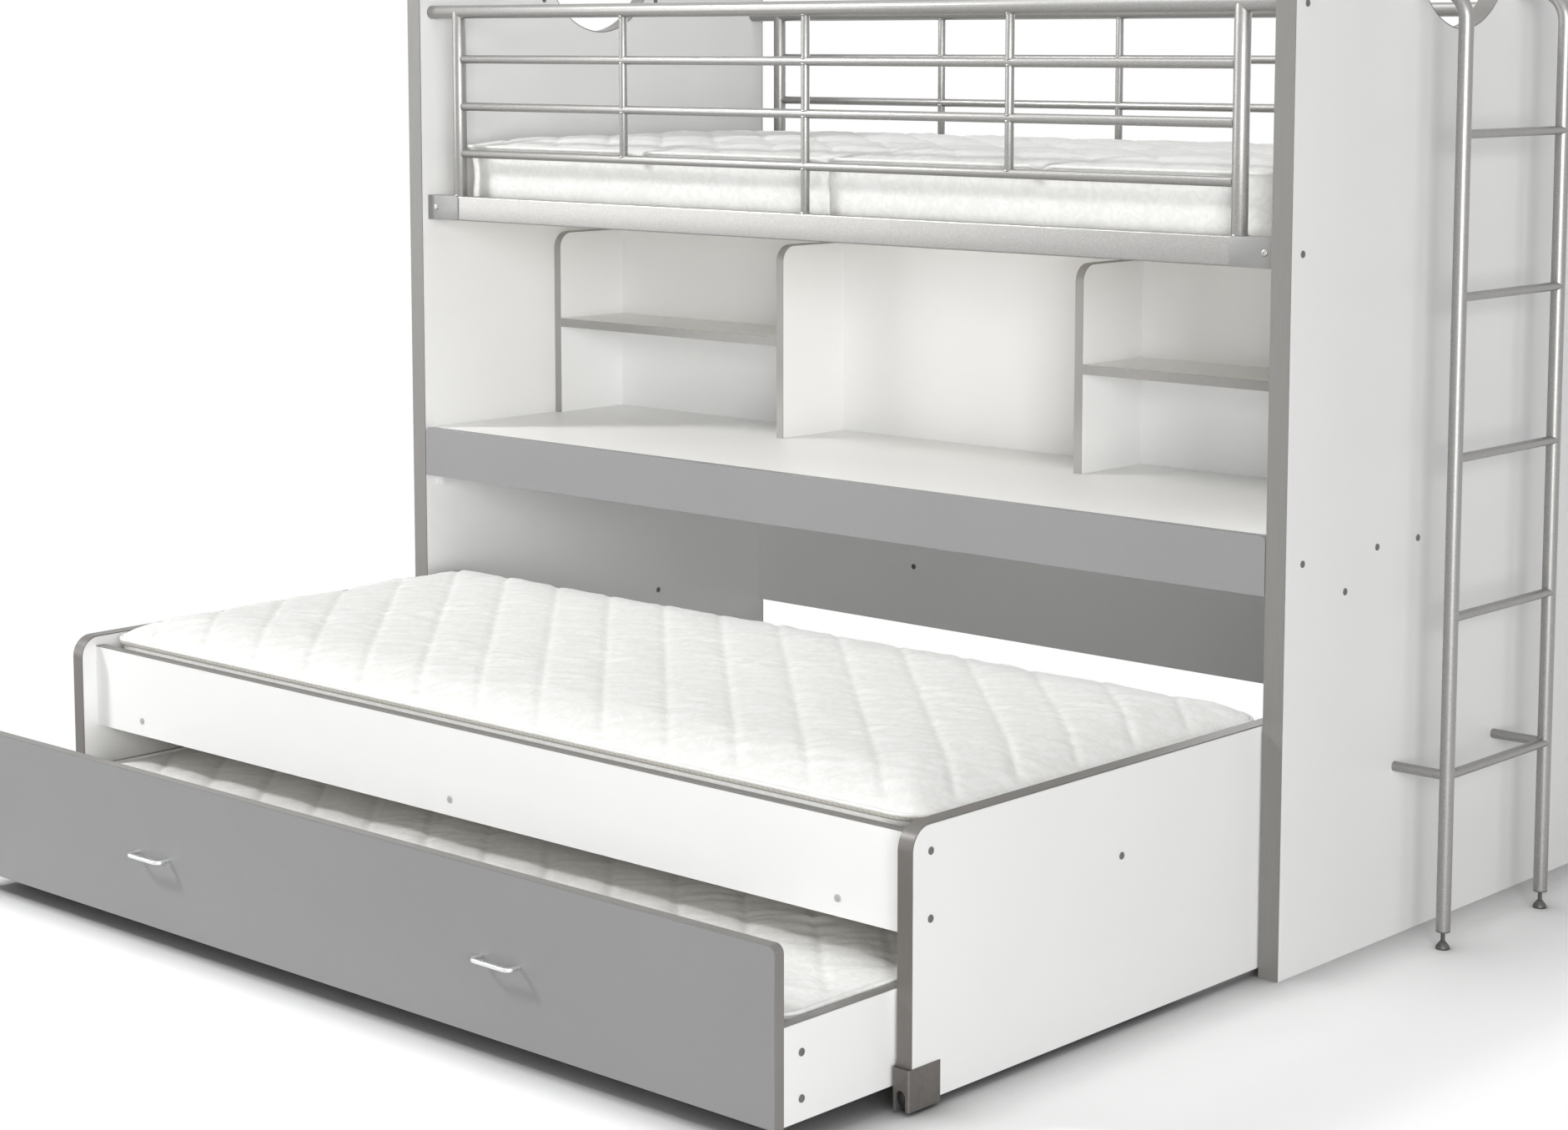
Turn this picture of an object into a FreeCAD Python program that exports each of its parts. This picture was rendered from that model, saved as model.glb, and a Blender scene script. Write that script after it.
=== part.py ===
import FreeCAD, Part
import math
import os
from FreeCAD import Vector

os.makedirs("parts", exist_ok=True)

# Loft bed with desk, shelves, a roll-out lower bed and a trundle drawer, in millimetres.
# While it is built, X runs along the beds, Y runs from the front to the back with 0 at the
# front edges of the two tall side panels, and Z is up from the floor.

# Tall side panels
inner_width = 2076.0
panel_thickness = 38.0
panel_depth = 1035.0
panel_height = 1830.0
panel_corner_radius = 60.0
edging_thickness = 2.0
notch_width = 316.0
notch_depth = 272.0
notch_corner_radius = 40.0

# Boards between the side panels
board_thickness = 18.0
stretcher_bottom = 236.0
stretcher_height = 400.0
stretcher_screw_x = 561.0
stretcher_screw_z = 368.0

# Desk
desk_height = 737.0
desk_board_thickness = 22.0
fascia_height = 99.0
fascia_end_gap = 1.5
fascia_corner_radius = 10.0
desk_support_height = 100.0
desk_support_length = 420.0
desk_support_setback = 30.0
desk_screw_depths = (20.0, 249.0, 380.0)
desk_screw_drop = 25.0
desk_lower_screw_depth = 151.0
desk_lower_screw_drop = 88.0

# Shelves that stand on the desk
shelf_back_face = 559.0
shelf_depth = 187.0
shelf_head_gap = 43.0
shelf_bay_width = 734.0
upright_corner_radius = 34.0

# Upper bed
upper_rail_drop = 659.0
upper_rail_height = 50.0
upper_rail_depth = 30.0
upper_rail_setback = 18.0
upper_rail_wall = 1.5
upper_rail_bolt_inset = 24.0
ledge_width = 28.0
ledge_thickness = 3.0
ledge_drop = 21.0
upper_slat_count = 14
upper_slat_width = 70.0
upper_slat_thickness = 18.0

# Guard tubes of the upper bed
guard_height = 375.0
guard_rail_diameter = 27.0
guard_bar_diameter = 17.0
guard_bar_pitch = 96.0
guard_bar_count = 3
guard_post_diameter = 28.0
guard_post_inset = 84.0
guard_baluster_diameter = 16.0
guard_baluster_pitch = 476.0

# Ladder on the right side panel
ladder_standoff = 103.0
ladder_width = 336.0
stile_diameter = 25.0
stile_bottom = 32.0
stile_drop = 205.0
stile_bend_radius = 56.0
first_rung_height = 301.0
ladder_head_gap = 242.0
rung_count = 5
rung_width = 22.0
rung_thickness = 15.0
standoff_diameter = 17.0
foot_diameter = 24.0
foot_height = 13.0
foot_stem_diameter = 8.0
foot_rim_height = 4.0
foot_neck_diameter = 11.0
foot_plug_thickness = 2.0

# Roll-out lower bed
bed_side_gap = 6.0
bed_pulled_out = 880.0
bed_depth = 1007.0
bed_floor_gap = 14.0
bed_top = 424.0
bed_end_thickness = 28.0
bed_corner_radius = 38.0
bed_rail_setback = 32.0
bed_rail_bottom = 254.0
bed_rail_top = 406.0
bed_bearer_size = 30.0
bed_bearer_top = 297.0
bed_slat_count = 14
bed_slat_width = 70.0
bed_slat_thickness = 12.0
bed_rail_screw_inset = 142.0
bed_screw_rise = 129.0
bed_lower_screw_rise = 29.0

# Corner brackets and wheels of the lower bed
bracket_thickness = 2.0
bracket_length = 71.0
bracket_bottom = 6.0
bracket_top = 69.0
bracket_nose = 8.0
bracket_bend_radius = 4.0
bracket_slot_width = 18.0
bracket_slot_height = 30.0
wheel_pocket_length = 50.0
wheel_pocket_top = 60.0
bed_wheel_diameter = 44.0
bed_wheel_width = 20.0
bed_wheel_inset = 20.0
bed_axle_diameter = 8.0
bed_axle_overhang = 5.0
axle_clearance = 0.05
wheel_dish = 3.0
wheel_hub_share = 0.68

# Trundle drawer
drawer_pulled_out = 265.0
drawer_end_gap = 6.0
drawer_bottom = 36.0
drawer_front_top = 300.0
drawer_front_corner_radius = 14.0
drawer_side_inset = 3.0
drawer_side_top = 181.0
drawer_side_thickness = 16.0
drawer_box_depth = 930.0
drawer_base_bottom = 46.0
drawer_base_thickness = 10.0
drawer_screw_inset = 39.0
drawer_screw_rises = (33.0, 100.0)
handle_x = 437.0
handle_height = 161.0
handle_width = 92.0
handle_projection = 28.0
handle_bend_radius = 14.0
handle_thickness = 8.0
handle_depth = 6.0

# Wheels of the drawer
drawer_wheel_diameter = 36.0
drawer_wheel_width = 16.0
drawer_wheel_inset = 110.0
drawer_axle_diameter = 6.0
caster_side_gap = 1.0
caster_thickness = 2.0
caster_length = 44.0
caster_leg_bottom = 10.0

# Mattresses
mattress_corner_radius = 55.0
mattress_corner_taper = 0.3
mattress_side_shares = (0.15, 0.5, 0.9)
mattress_tuck = 9.0
mattress_drawn_in = 4.0
mattress_shoulder_share = 0.6
mattress_crown_inset = 48.0
mattress_plateau_inset = 115.0
quilt_pitch = 150.0
quilt_shift = 38.0
quilt_depth = 5.0
quilt_width = 15.0
upper_mattress_end_gap = 38.0
upper_mattress_side_gap = 11.5
upper_mattress_edge = 121.0
upper_mattress_crown = 25.0
lower_mattress_end_gap = 4.0
lower_mattress_side_gap = 3.5
lower_mattress_edge = 118.0
lower_mattress_crown = 38.0
drawer_mattress_end_gap = 4.0
drawer_mattress_side_gap = 12.0
drawer_mattress_edge = 126.0
drawer_mattress_crown = 16.0

# Screw caps
cap_diameter = 12.0
cap_sides = 10
cap_height = 2.0
plug_height = 1.0

# Places that follow from the sizes above
half_width = inner_width / 2
panel_outer = half_width + panel_thickness
mid_depth = panel_depth / 2
notch_bottom = panel_height - notch_depth
stretcher_face = panel_depth - board_thickness
desk_underside = desk_height - desk_board_thickness
shelf_front = shelf_back_face - shelf_depth
upper_rail_bottom = panel_height - upper_rail_drop
shelf_top = upper_rail_bottom - shelf_head_gap
shelf_level = (desk_height + shelf_top - board_thickness) / 2
bay_half = shelf_bay_width / 2
upper_rail_top = upper_rail_bottom + upper_rail_height
guard_rail_height = upper_rail_top + guard_height
guard_front = upper_rail_setback + upper_rail_depth / 2
guard_back = panel_depth - guard_front
ladder_x = panel_outer + ladder_standoff
stile_top = panel_height - stile_drop
rung_pitch = (stile_top - ladder_head_gap - first_rung_height) / (rung_count - 1)
ladder_sides = (mid_depth - ladder_width / 2, mid_depth + ladder_width / 2)
bed_outer = half_width - bed_side_gap
bed_inner = bed_outer - bed_end_thickness
bed_rail_screw_x = bed_inner - bed_rail_screw_inset
bed_front = -bed_pulled_out
bed_back = bed_front + bed_depth
bed_rail_front = bed_front + bed_rail_setback
bed_rail_back = bed_back - bed_rail_setback
bed_middle = (bed_front + bed_back) / 2
drawer_face_back = bed_rail_front - drawer_pulled_out
drawer_face_front = drawer_face_back - board_thickness
drawer_half = bed_inner - drawer_end_gap
drawer_side_outer = drawer_half - drawer_side_inset
drawer_side_inner = drawer_side_outer - drawer_side_thickness
drawer_back_end = drawer_face_back + drawer_box_depth
drawer_back_face = drawer_back_end - drawer_side_thickness
drawer_base_top = drawer_base_bottom + drawer_base_thickness

nodes = {}


# Basic solids

def block(x0, x1, y0, y1, z0, z1):
    return Part.makeBox(x1 - x0, y1 - y0, z1 - z0, Vector(x0, y0, z0))


def rod(start, end, diameter):
    return Part.makeCylinder(diameter / 2, (end - start).Length, start, end - start)


def rounded_wire(corners):
    # A closed outline through (point, radius) corners, each rounded by its own tangent arc.
    stretches = []
    for index, (corner, radius) in enumerate(corners):
        back = (corners[index - 1][0] - corner).normalize()
        ahead = (corners[(index + 1) % len(corners)][0] - corner).normalize()
        if radius <= 0:
            stretches.append((corner, corner, corner))
            continue
        half_angle = back.getAngle(ahead) / 2
        reach = radius / math.tan(half_angle)
        inward = (back + ahead).normalize()
        arc_middle = corner + inward * (radius / math.sin(half_angle) - radius)
        stretches.append((corner + back * reach, arc_middle, corner + ahead * reach))
    edges = []
    for index, (first, middle, last) in enumerate(stretches):
        if (last - first).Length > 1e-6:
            edges.append(Part.Arc(first, middle, last).toShape())
        following = stretches[(index + 1) % len(stretches)][0]
        if (following - last).Length > 1e-6:
            edges.append(Part.LineSegment(last, following).toShape())
    return Part.Wire(edges)


def extruded(wire, along):
    return Part.Face(wire).extrude(along)


def mirrored(shape):
    return shape.mirror(Vector(0, 0, 0), Vector(1, 0, 0))


def group(shapes):
    return Part.makeCompound(shapes)


def cap(place, outward, height):
    # A push-on screw cap, drawn as a low prism of cap_sides sides.
    side = outward.cross(Vector(0, 0, 1)) * (cap_diameter / 2)
    turn = 360.0 / cap_sides
    points = [place + FreeCAD.Rotation(outward, turn * i).multVec(side) for i in range(cap_sides)]
    return extruded(Part.makePolygon(points + points[:1]), outward * height)


def caps_both_sides(face_x, places, height):
    # Screw caps on the faces at +face_x and -face_x, at (y, z) places.
    caps = [cap(Vector(face_x, y, z), Vector(1, 0, 0), height) for y, z in places]
    return caps + [mirrored(shape) for shape in caps]


# Edged boards: a core with a thin band glued round its open edges

def end_board(x0, x1, y0, y1, z0, z1, radius, notched, inset):
    # A side board whose outline lies in YZ, drawn in by inset on every edge but the bottom one.
    front, back, top = y0 + inset, y1 - inset, z1 - inset
    corners = [((front, z0), 0), ((front, top), radius - inset)]
    if notched:
        half = notch_width / 2 + inset
        middle = (y0 + y1) / 2
        corners += [
            ((middle - half, top), notch_corner_radius - inset),
            ((middle - half, notch_bottom - inset), half),
            ((middle + half, notch_bottom - inset), half),
            ((middle + half, top), notch_corner_radius - inset),
        ]
    corners += [((back, top), radius - inset), ((back, z0), 0)]
    wire = rounded_wire([(Vector(x0, y, z), r) for (y, z), r in corners])
    return extruded(wire, Vector(x1 - x0, 0, 0))


def edged_end_board(x0, x1, y0, y1, z0, z1, radius, notched=False):
    core = end_board(x0, x1, y0, y1, z0, z1, radius, notched, edging_thickness)
    whole = end_board(x0, x1, y0, y1, z0, z1, radius, notched, 0)
    return core, whole.cut(core)


def front_board(x0, x1, y0, y1, z0, z1, radius, inset):
    # A front board whose outline lies in XZ, drawn in by inset on its sides and top.
    left, right, top = x0 + inset, x1 - inset, z1 - inset
    corners = [
        ((left, z0), 0),
        ((left, top), radius - inset),
        ((right, top), radius - inset),
        ((right, z0), 0),
    ]
    wire = rounded_wire([(Vector(x, y0, z), r) for (x, z), r in corners])
    return extruded(wire, Vector(0, y1 - y0, 0))


# Tall side panels

def side_panels():
    core, edging = edged_end_board(
        half_width, panel_outer, 0, panel_depth, 0, panel_height, panel_corner_radius, True
    )
    nodes["right_side_panel"] = core
    nodes["right_panel_edging"] = edging
    nodes["left_side_panel"] = mirrored(core)
    nodes["left_panel_edging"] = mirrored(edging)


def rear_stretcher():
    nodes["rear_stretcher"] = block(
        -half_width, half_width, stretcher_face, panel_depth,
        stretcher_bottom, stretcher_bottom + stretcher_height,
    )


# Desk

def desk():
    back = shelf_back_face + board_thickness
    nodes["desk_top"] = block(
        -half_width, half_width, board_thickness, back, desk_underside, desk_height
    )
    end = half_width - fascia_end_gap
    nodes["desk_fascia"] = front_board(
        -end, end, 0, board_thickness, desk_height - fascia_height, desk_height,
        fascia_corner_radius, 0,
    )
    support = block(
        half_width - board_thickness, half_width,
        desk_support_setback, desk_support_setback + desk_support_length,
        desk_underside - desk_support_height, desk_underside,
    )
    nodes["desk_supports"] = group([support, mirrored(support)])


# Shelves

def upright(x0, inset):
    corners = [
        ((shelf_front + inset, desk_height), 0),
        ((shelf_front + inset, shelf_top - inset), upright_corner_radius - inset),
        ((shelf_back_face, shelf_top - inset), 0),
        ((shelf_back_face, desk_height), 0),
    ]
    wire = rounded_wire([(Vector(x0, y, z), r) for (y, z), r in corners])
    return extruded(wire, Vector(board_thickness, 0, 0))


def shelves():
    nodes["desk_back_panel"] = block(
        -half_width, half_width, shelf_back_face, shelf_back_face + board_thickness,
        desk_height, shelf_top,
    )
    outer_x = half_width - board_thickness
    inner_core = upright(bay_half, edging_thickness)
    outer_core = upright(outer_x, edging_thickness)
    nodes["inner_shelf_uprights"] = group([inner_core, mirrored(inner_core)])
    nodes["outer_shelf_uprights"] = group([outer_core, mirrored(outer_core)])
    shelf = block(
        bay_half + board_thickness, outer_x, shelf_front + edging_thickness, shelf_back_face,
        shelf_level, shelf_level + board_thickness,
    )
    nodes["right_shelf"] = shelf
    nodes["left_shelf"] = mirrored(shelf)
    bands = [
        upright(bay_half, 0).cut(inner_core),
        upright(outer_x, 0).cut(outer_core),
        block(
            bay_half + board_thickness, outer_x, shelf_front, shelf_front + edging_thickness,
            shelf_level, shelf_level + board_thickness,
        ),
    ]
    nodes["shelf_edging"] = group(bands + [mirrored(band) for band in bands])


# Upper bed

def upper_bed():
    outer = block(
        -half_width, half_width, upper_rail_setback, upper_rail_setback + upper_rail_depth,
        upper_rail_bottom, upper_rail_top,
    )
    hollow = block(
        -half_width, half_width,
        upper_rail_setback + upper_rail_wall,
        upper_rail_setback + upper_rail_depth - upper_rail_wall,
        upper_rail_bottom + upper_rail_wall, upper_rail_top - upper_rail_wall,
    )
    rail = outer.cut(hollow)
    to_back = Vector(0, panel_depth - 2 * upper_rail_setback - upper_rail_depth, 0)
    nodes["upper_front_rail"] = rail
    nodes["upper_rear_rail"] = rail.translated(to_back)

    rail_inner = upper_rail_setback + upper_rail_depth
    ledge_top = upper_rail_top - ledge_drop - upper_slat_thickness
    ledge_end = half_width - board_thickness
    foot = block(
        -ledge_end, ledge_end, rail_inner, rail_inner + ledge_width,
        ledge_top - ledge_thickness, ledge_top,
    )
    nodes["upper_slat_ledges"] = group([
        foot,
        foot.translated(Vector(0, panel_depth - 2 * rail_inner - ledge_width, 0)),
    ])
    nodes["upper_slats"] = slats(
        upper_slat_count, upper_slat_width, 2 * ledge_end,
        rail_inner, panel_depth - rail_inner, ledge_top, ledge_top + upper_slat_thickness,
    )
    return ledge_top + upper_slat_thickness


def slats(count, width, length, y0, y1, z0, z1):
    pitch = (length - width) / (count - 1)
    first = -length / 2
    return group([
        block(first + pitch * i, first + pitch * i + width, y0, y1, z0, z1) for i in range(count)
    ])


# Guards: one top rail from panel to panel, bars between two posts, short balusters

def guard(y):
    # Closed tubes, drawn solid: the posts and balusters are cut to saddles where they meet the bars.
    rail = rod(
        Vector(-half_width, y, guard_rail_height), Vector(half_width, y, guard_rail_height),
        guard_rail_diameter,
    )
    post_x = half_width - guard_post_inset
    posts = [
        rod(Vector(x, y, upper_rail_top), Vector(x, y, guard_rail_height), guard_post_diameter)
        for x in (-post_x, post_x)
    ]
    bars = []
    for index in range(guard_bar_count):
        z = guard_rail_height - guard_bar_pitch * (index + 1)
        bars.append(rod(Vector(-post_x, y, z), Vector(post_x, y, z), guard_bar_diameter))
    lowest = guard_rail_height - guard_bar_pitch * guard_bar_count
    balusters = []
    for x in (-guard_baluster_pitch, 0, guard_baluster_pitch):
        foot = Vector(x, y, lowest if x else upper_rail_top)
        head = Vector(x, y, guard_rail_height)
        balusters += rod(foot, head, guard_baluster_diameter).cut([rail] + bars).Solids
    return (
        group([rail] + [bar.cut(posts) for bar in bars]),
        group([post.cut(rail) for post in posts] + balusters),
    )


def guards():
    nodes["front_guard_bars"], nodes["front_guard_posts"] = guard(guard_front)
    nodes["rear_guard_bars"], nodes["rear_guard_posts"] = guard(guard_back)


# Ladder

def stile(y):
    foot = Vector(ladder_x, y, stile_bottom)
    bend_start = Vector(ladder_x, y, stile_top - stile_bend_radius)
    bend_end = Vector(ladder_x - stile_bend_radius, y, stile_top)
    centre = Vector(ladder_x - stile_bend_radius, y, stile_top - stile_bend_radius)
    bend_middle = centre + Vector(1, 0, 1).normalize() * stile_bend_radius
    path = Part.Wire([
        Part.LineSegment(foot, bend_start).toShape(),
        Part.Arc(bend_start, bend_middle, bend_end).toShape(),
        Part.LineSegment(bend_end, Vector(panel_outer, y, stile_top)).toShape(),
    ])
    ring = Part.Wire([Part.makeCircle(stile_diameter / 2, foot, Vector(0, 0, 1))])
    return path.makePipeShell([ring], True, False)


def ladder():
    stiles = [stile(y) for y in ladder_sides]
    nodes["ladder_stiles"] = group(stiles)

    rungs = []
    for index in range(rung_count):
        z = first_rung_height + rung_pitch * index
        half, rise = rung_width / 2, rung_thickness / 2
        start = ladder_sides[0]
        wire = rounded_wire([
            (Vector(ladder_x - half, start, z - rise), rise),
            (Vector(ladder_x - half, start, z + rise), rise),
            (Vector(ladder_x + half, start, z + rise), rise),
            (Vector(ladder_x + half, start, z - rise), rise),
        ])
        rung = extruded(wire, Vector(0, ladder_width, 0)).cut(stiles)
        rungs.append(max(rung.Solids, key=lambda solid: solid.Volume))
    nodes["ladder_rungs"] = group(rungs)

    standoffs = []
    for y, outer in zip(ladder_sides, stiles):
        inner_end = Vector(panel_outer, y, first_rung_height)
        whole = rod(inner_end, Vector(ladder_x, y, first_rung_height), standoff_diameter)
        standoffs.append(max(whole.cut(outer).Solids, key=lambda solid: solid.Volume))
    nodes["ladder_standoffs"] = group(standoffs)

    nodes["ladder_feet"] = group([levelling_foot(y) for y in ladder_sides])


def levelling_foot(y):
    stem = foot_stem_diameter / 2
    plug_bottom = stile_bottom - foot_plug_thickness
    outline = [
        (0, 0), (foot_diameter / 2, 0), (foot_diameter / 2, foot_rim_height),
        (foot_neck_diameter / 2, foot_height), (stem, foot_height), (stem, plug_bottom),
        (stile_diameter / 2, plug_bottom), (stile_diameter / 2, stile_bottom), (0, stile_bottom),
    ]
    points = [Vector(ladder_x + r, y, z) for r, z in outline]
    face = Part.Face(Part.makePolygon(points + points[:1]))
    return face.revolve(Vector(ladder_x, y, 0), Vector(0, 0, 1), 360)


# Lower bed

def wheel_pockets():
    across = (bed_inner - bracket_nose, bed_outer + bracket_nose)
    front = block(
        *across, bed_front - bracket_nose, bed_front + wheel_pocket_length,
        0, wheel_pocket_top,
    )
    back = block(
        *across, bed_back - wheel_pocket_length, bed_back + bracket_nose,
        0, wheel_pocket_top,
    )
    return [front, back]


def lower_bed_ends():
    core, edging = edged_end_board(
        bed_inner, bed_outer, bed_front, bed_back, bed_floor_gap, bed_top, bed_corner_radius
    )
    pockets = wheel_pockets()
    core = core.cut(pockets)
    edging = edging.cut(pockets)
    nodes["bed_right_end"] = core
    nodes["bed_left_end"] = mirrored(core)
    nodes["bed_end_edging"] = group([edging, mirrored(edging)])


def lower_bed_rails():
    top = bed_rail_top - edging_thickness
    front_back = bed_rail_front + board_thickness
    nodes["bed_front_rail"] = block(
        -bed_inner, bed_inner, bed_rail_front, front_back, bed_rail_bottom, top
    )
    rear_front = bed_rail_back - board_thickness
    nodes["bed_rear_rail"] = block(
        -bed_inner, bed_inner, rear_front, bed_rail_back, bed_rail_bottom, top
    )
    nodes["bed_rail_edging"] = group([
        block(-bed_inner, bed_inner, bed_rail_front, front_back, top, bed_rail_top),
        block(-bed_inner, bed_inner, rear_front, bed_rail_back, top, bed_rail_top),
    ])
    low = bed_bearer_top - bed_bearer_size
    nodes["bed_slat_bearers"] = group([
        block(-bed_inner, bed_inner, y, y + bed_bearer_size, low, bed_bearer_top)
        for y in (front_back, bed_middle - bed_bearer_size / 2, rear_front - bed_bearer_size)
    ])
    slat_top = bed_bearer_top + bed_slat_thickness
    nodes["bed_slats"] = slats(
        bed_slat_count, bed_slat_width, 2 * bed_inner, front_back, rear_front,
        bed_bearer_top, slat_top,
    )
    return slat_top


def wheel_bracket():
    # A folded U of sheet steel round the right front corner, open below, with a slot in its nose.
    inside, outside = bed_inner - bracket_thickness, bed_outer + bracket_thickness
    nose = bed_front - bracket_nose
    tail = nose + bracket_length
    outer_bend = bracket_bend_radius
    inner_bend = bracket_bend_radius - bracket_thickness
    corners = [
        ((inside, tail), 0),
        ((inside, nose), outer_bend),
        ((outside, nose), outer_bend),
        ((outside, tail), 0),
        ((bed_outer, tail), 0),
        ((bed_outer, nose + bracket_thickness), inner_bend),
        ((bed_inner, nose + bracket_thickness), inner_bend),
        ((bed_inner, tail), 0),
    ]
    wire = rounded_wire([(Vector(x, y, bracket_bottom), r) for (x, y), r in corners])
    sheet = extruded(wire, Vector(0, 0, bracket_top - bracket_bottom))
    middle = (bed_inner + bed_outer) / 2
    half = bracket_slot_width / 2
    slot_top = bracket_bottom + bracket_slot_height
    slot = rounded_wire([
        (Vector(middle - half, nose - 1, 0), 0),
        (Vector(middle - half, nose - 1, slot_top), half),
        (Vector(middle + half, nose - 1, slot_top), half),
        (Vector(middle + half, nose - 1, 0), 0),
    ])
    sheet = sheet.cut(extruded(slot, Vector(0, bracket_thickness + 2, 0)))
    axle_z = bed_wheel_diameter / 2
    axle_y = bed_front + bed_wheel_inset
    axle = rod(
        Vector(inside - bed_axle_overhang, axle_y, axle_z), Vector(bed_outer, axle_y, axle_z),
        bed_axle_diameter,
    )
    return sheet.cut(axle), axle


def wheel(centre, diameter, width, bore, dish):
    # A wheel on an axle along X, whose hub is narrower than its tyre by dish on both sides.
    tyre = Part.makeCylinder(
        diameter / 2, width, centre - Vector(width / 2, 0, 0), Vector(1, 0, 0)
    )
    for side in (-1, 1) if dish else ():
        face = centre + Vector(side * (width / 2 - dish), 0, 0)
        hub = diameter * wheel_hub_share / 2
        tyre = tyre.cut(Part.makeCylinder(hub, dish, face, Vector(side, 0, 0)))
    return tyre.cut(Part.makeCylinder(
        bore / 2, width, centre - Vector(width / 2, 0, 0), Vector(1, 0, 0)
    ))


def to_rear(shape, middle):
    return shape.mirror(Vector(0, middle, 0), Vector(0, 1, 0))


def lower_bed_wheels():
    bracket, axle = wheel_bracket()
    brackets = [bracket, to_rear(bracket, bed_middle)]
    axles = [axle, to_rear(axle, bed_middle)]
    nodes["bed_wheel_brackets"] = group(brackets + [mirrored(shape) for shape in brackets])
    nodes["bed_wheel_axles"] = group(axles + [mirrored(shape) for shape in axles])
    x = (bed_inner + bed_outer) / 2
    for end, y in (("front", bed_front + bed_wheel_inset), ("rear", bed_back - bed_wheel_inset)):
        for side, sign in (("left", -1), ("right", 1)):
            centre = Vector(sign * x, y, bed_wheel_diameter / 2)
            nodes["bed_wheel_" + end + "_" + side] = wheel(
                centre, bed_wheel_diameter, bed_wheel_width,
                bed_axle_diameter + 2 * axle_clearance, wheel_dish,
            )


# Trundle drawer

def drawer_box():
    face = (
        -drawer_half, drawer_half, drawer_face_front, drawer_face_back,
        drawer_bottom, drawer_front_top, drawer_front_corner_radius,
    )
    core = front_board(*face, edging_thickness)
    nodes["drawer_front"] = core
    nodes["drawer_front_edging"] = front_board(*face, 0).cut(core)
    side_core_top = drawer_side_top - edging_thickness
    side = block(
        drawer_side_inner, drawer_side_outer, drawer_face_back, drawer_back_end,
        drawer_bottom, side_core_top,
    )
    side_band = block(
        drawer_side_inner, drawer_side_outer, drawer_face_back, drawer_back_end,
        side_core_top, drawer_side_top,
    )
    nodes["drawer_right_side"] = side
    nodes["drawer_left_side"] = mirrored(side)
    nodes["drawer_side_edging"] = group([side_band, mirrored(side_band)])
    nodes["drawer_back"] = block(
        -drawer_side_inner, drawer_side_inner, drawer_back_face, drawer_back_end,
        drawer_bottom, drawer_side_top,
    )
    nodes["drawer_base"] = block(
        -drawer_side_inner, drawer_side_inner, drawer_face_back, drawer_back_face,
        drawer_base_bottom, drawer_base_top,
    )


def handle(x):
    # A bow handle: a flat strip that leaves the front, bends along it and comes back.
    ends = (x - handle_width / 2, x + handle_width / 2)
    bow = drawer_face_front - handle_projection
    low = handle_height - handle_depth / 2
    inner = handle_bend_radius - handle_thickness
    corners = [
        ((ends[0], drawer_face_front), 0),
        ((ends[0], bow), handle_bend_radius),
        ((ends[1], bow), handle_bend_radius),
        ((ends[1], drawer_face_front), 0),
        ((ends[1] - handle_thickness, drawer_face_front), 0),
        ((ends[1] - handle_thickness, bow + handle_thickness), inner),
        ((ends[0] + handle_thickness, bow + handle_thickness), inner),
        ((ends[0] + handle_thickness, drawer_face_front), 0),
    ]
    wire = rounded_wire([(Vector(px, py, low), r) for (px, py), r in corners])
    return extruded(wire, Vector(0, 0, handle_depth))


def drawer_casters():
    gap = drawer_wheel_width / 2 + caster_side_gap
    x = drawer_side_inner - drawer_wheel_inset
    places = (
        ("front", drawer_face_back + drawer_wheel_inset),
        ("rear", drawer_back_face - drawer_wheel_inset),
    )
    forks, axles = [], []
    for end, y in places:
        for side, sign in (("left", -1), ("right", 1)):
            centre = Vector(sign * x, y, drawer_wheel_diameter / 2)
            outer = gap + caster_thickness
            fork = block(
                centre.x - outer, centre.x + outer, y - caster_length / 2, y + caster_length / 2,
                caster_leg_bottom, drawer_base_bottom,
            )
            space = block(
                centre.x - gap, centre.x + gap, y - caster_length, y + caster_length,
                0, drawer_base_bottom - caster_thickness,
            )
            axle = rod(
                centre - Vector(gap, 0, 0), centre + Vector(gap, 0, 0), drawer_axle_diameter
            )
            forks.append(fork.cut(space))
            axles.append(axle)
            nodes["drawer_wheel_" + end + "_" + side] = wheel(
                centre, drawer_wheel_diameter, drawer_wheel_width,
                drawer_axle_diameter + 2 * axle_clearance, 0,
            )
    nodes["drawer_wheel_forks"] = group(forks)
    nodes["drawer_wheel_axles"] = group(axles)


# Mattresses: tucked bottom edges, drawn-in sides, a crowned top with quilted channels

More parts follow.
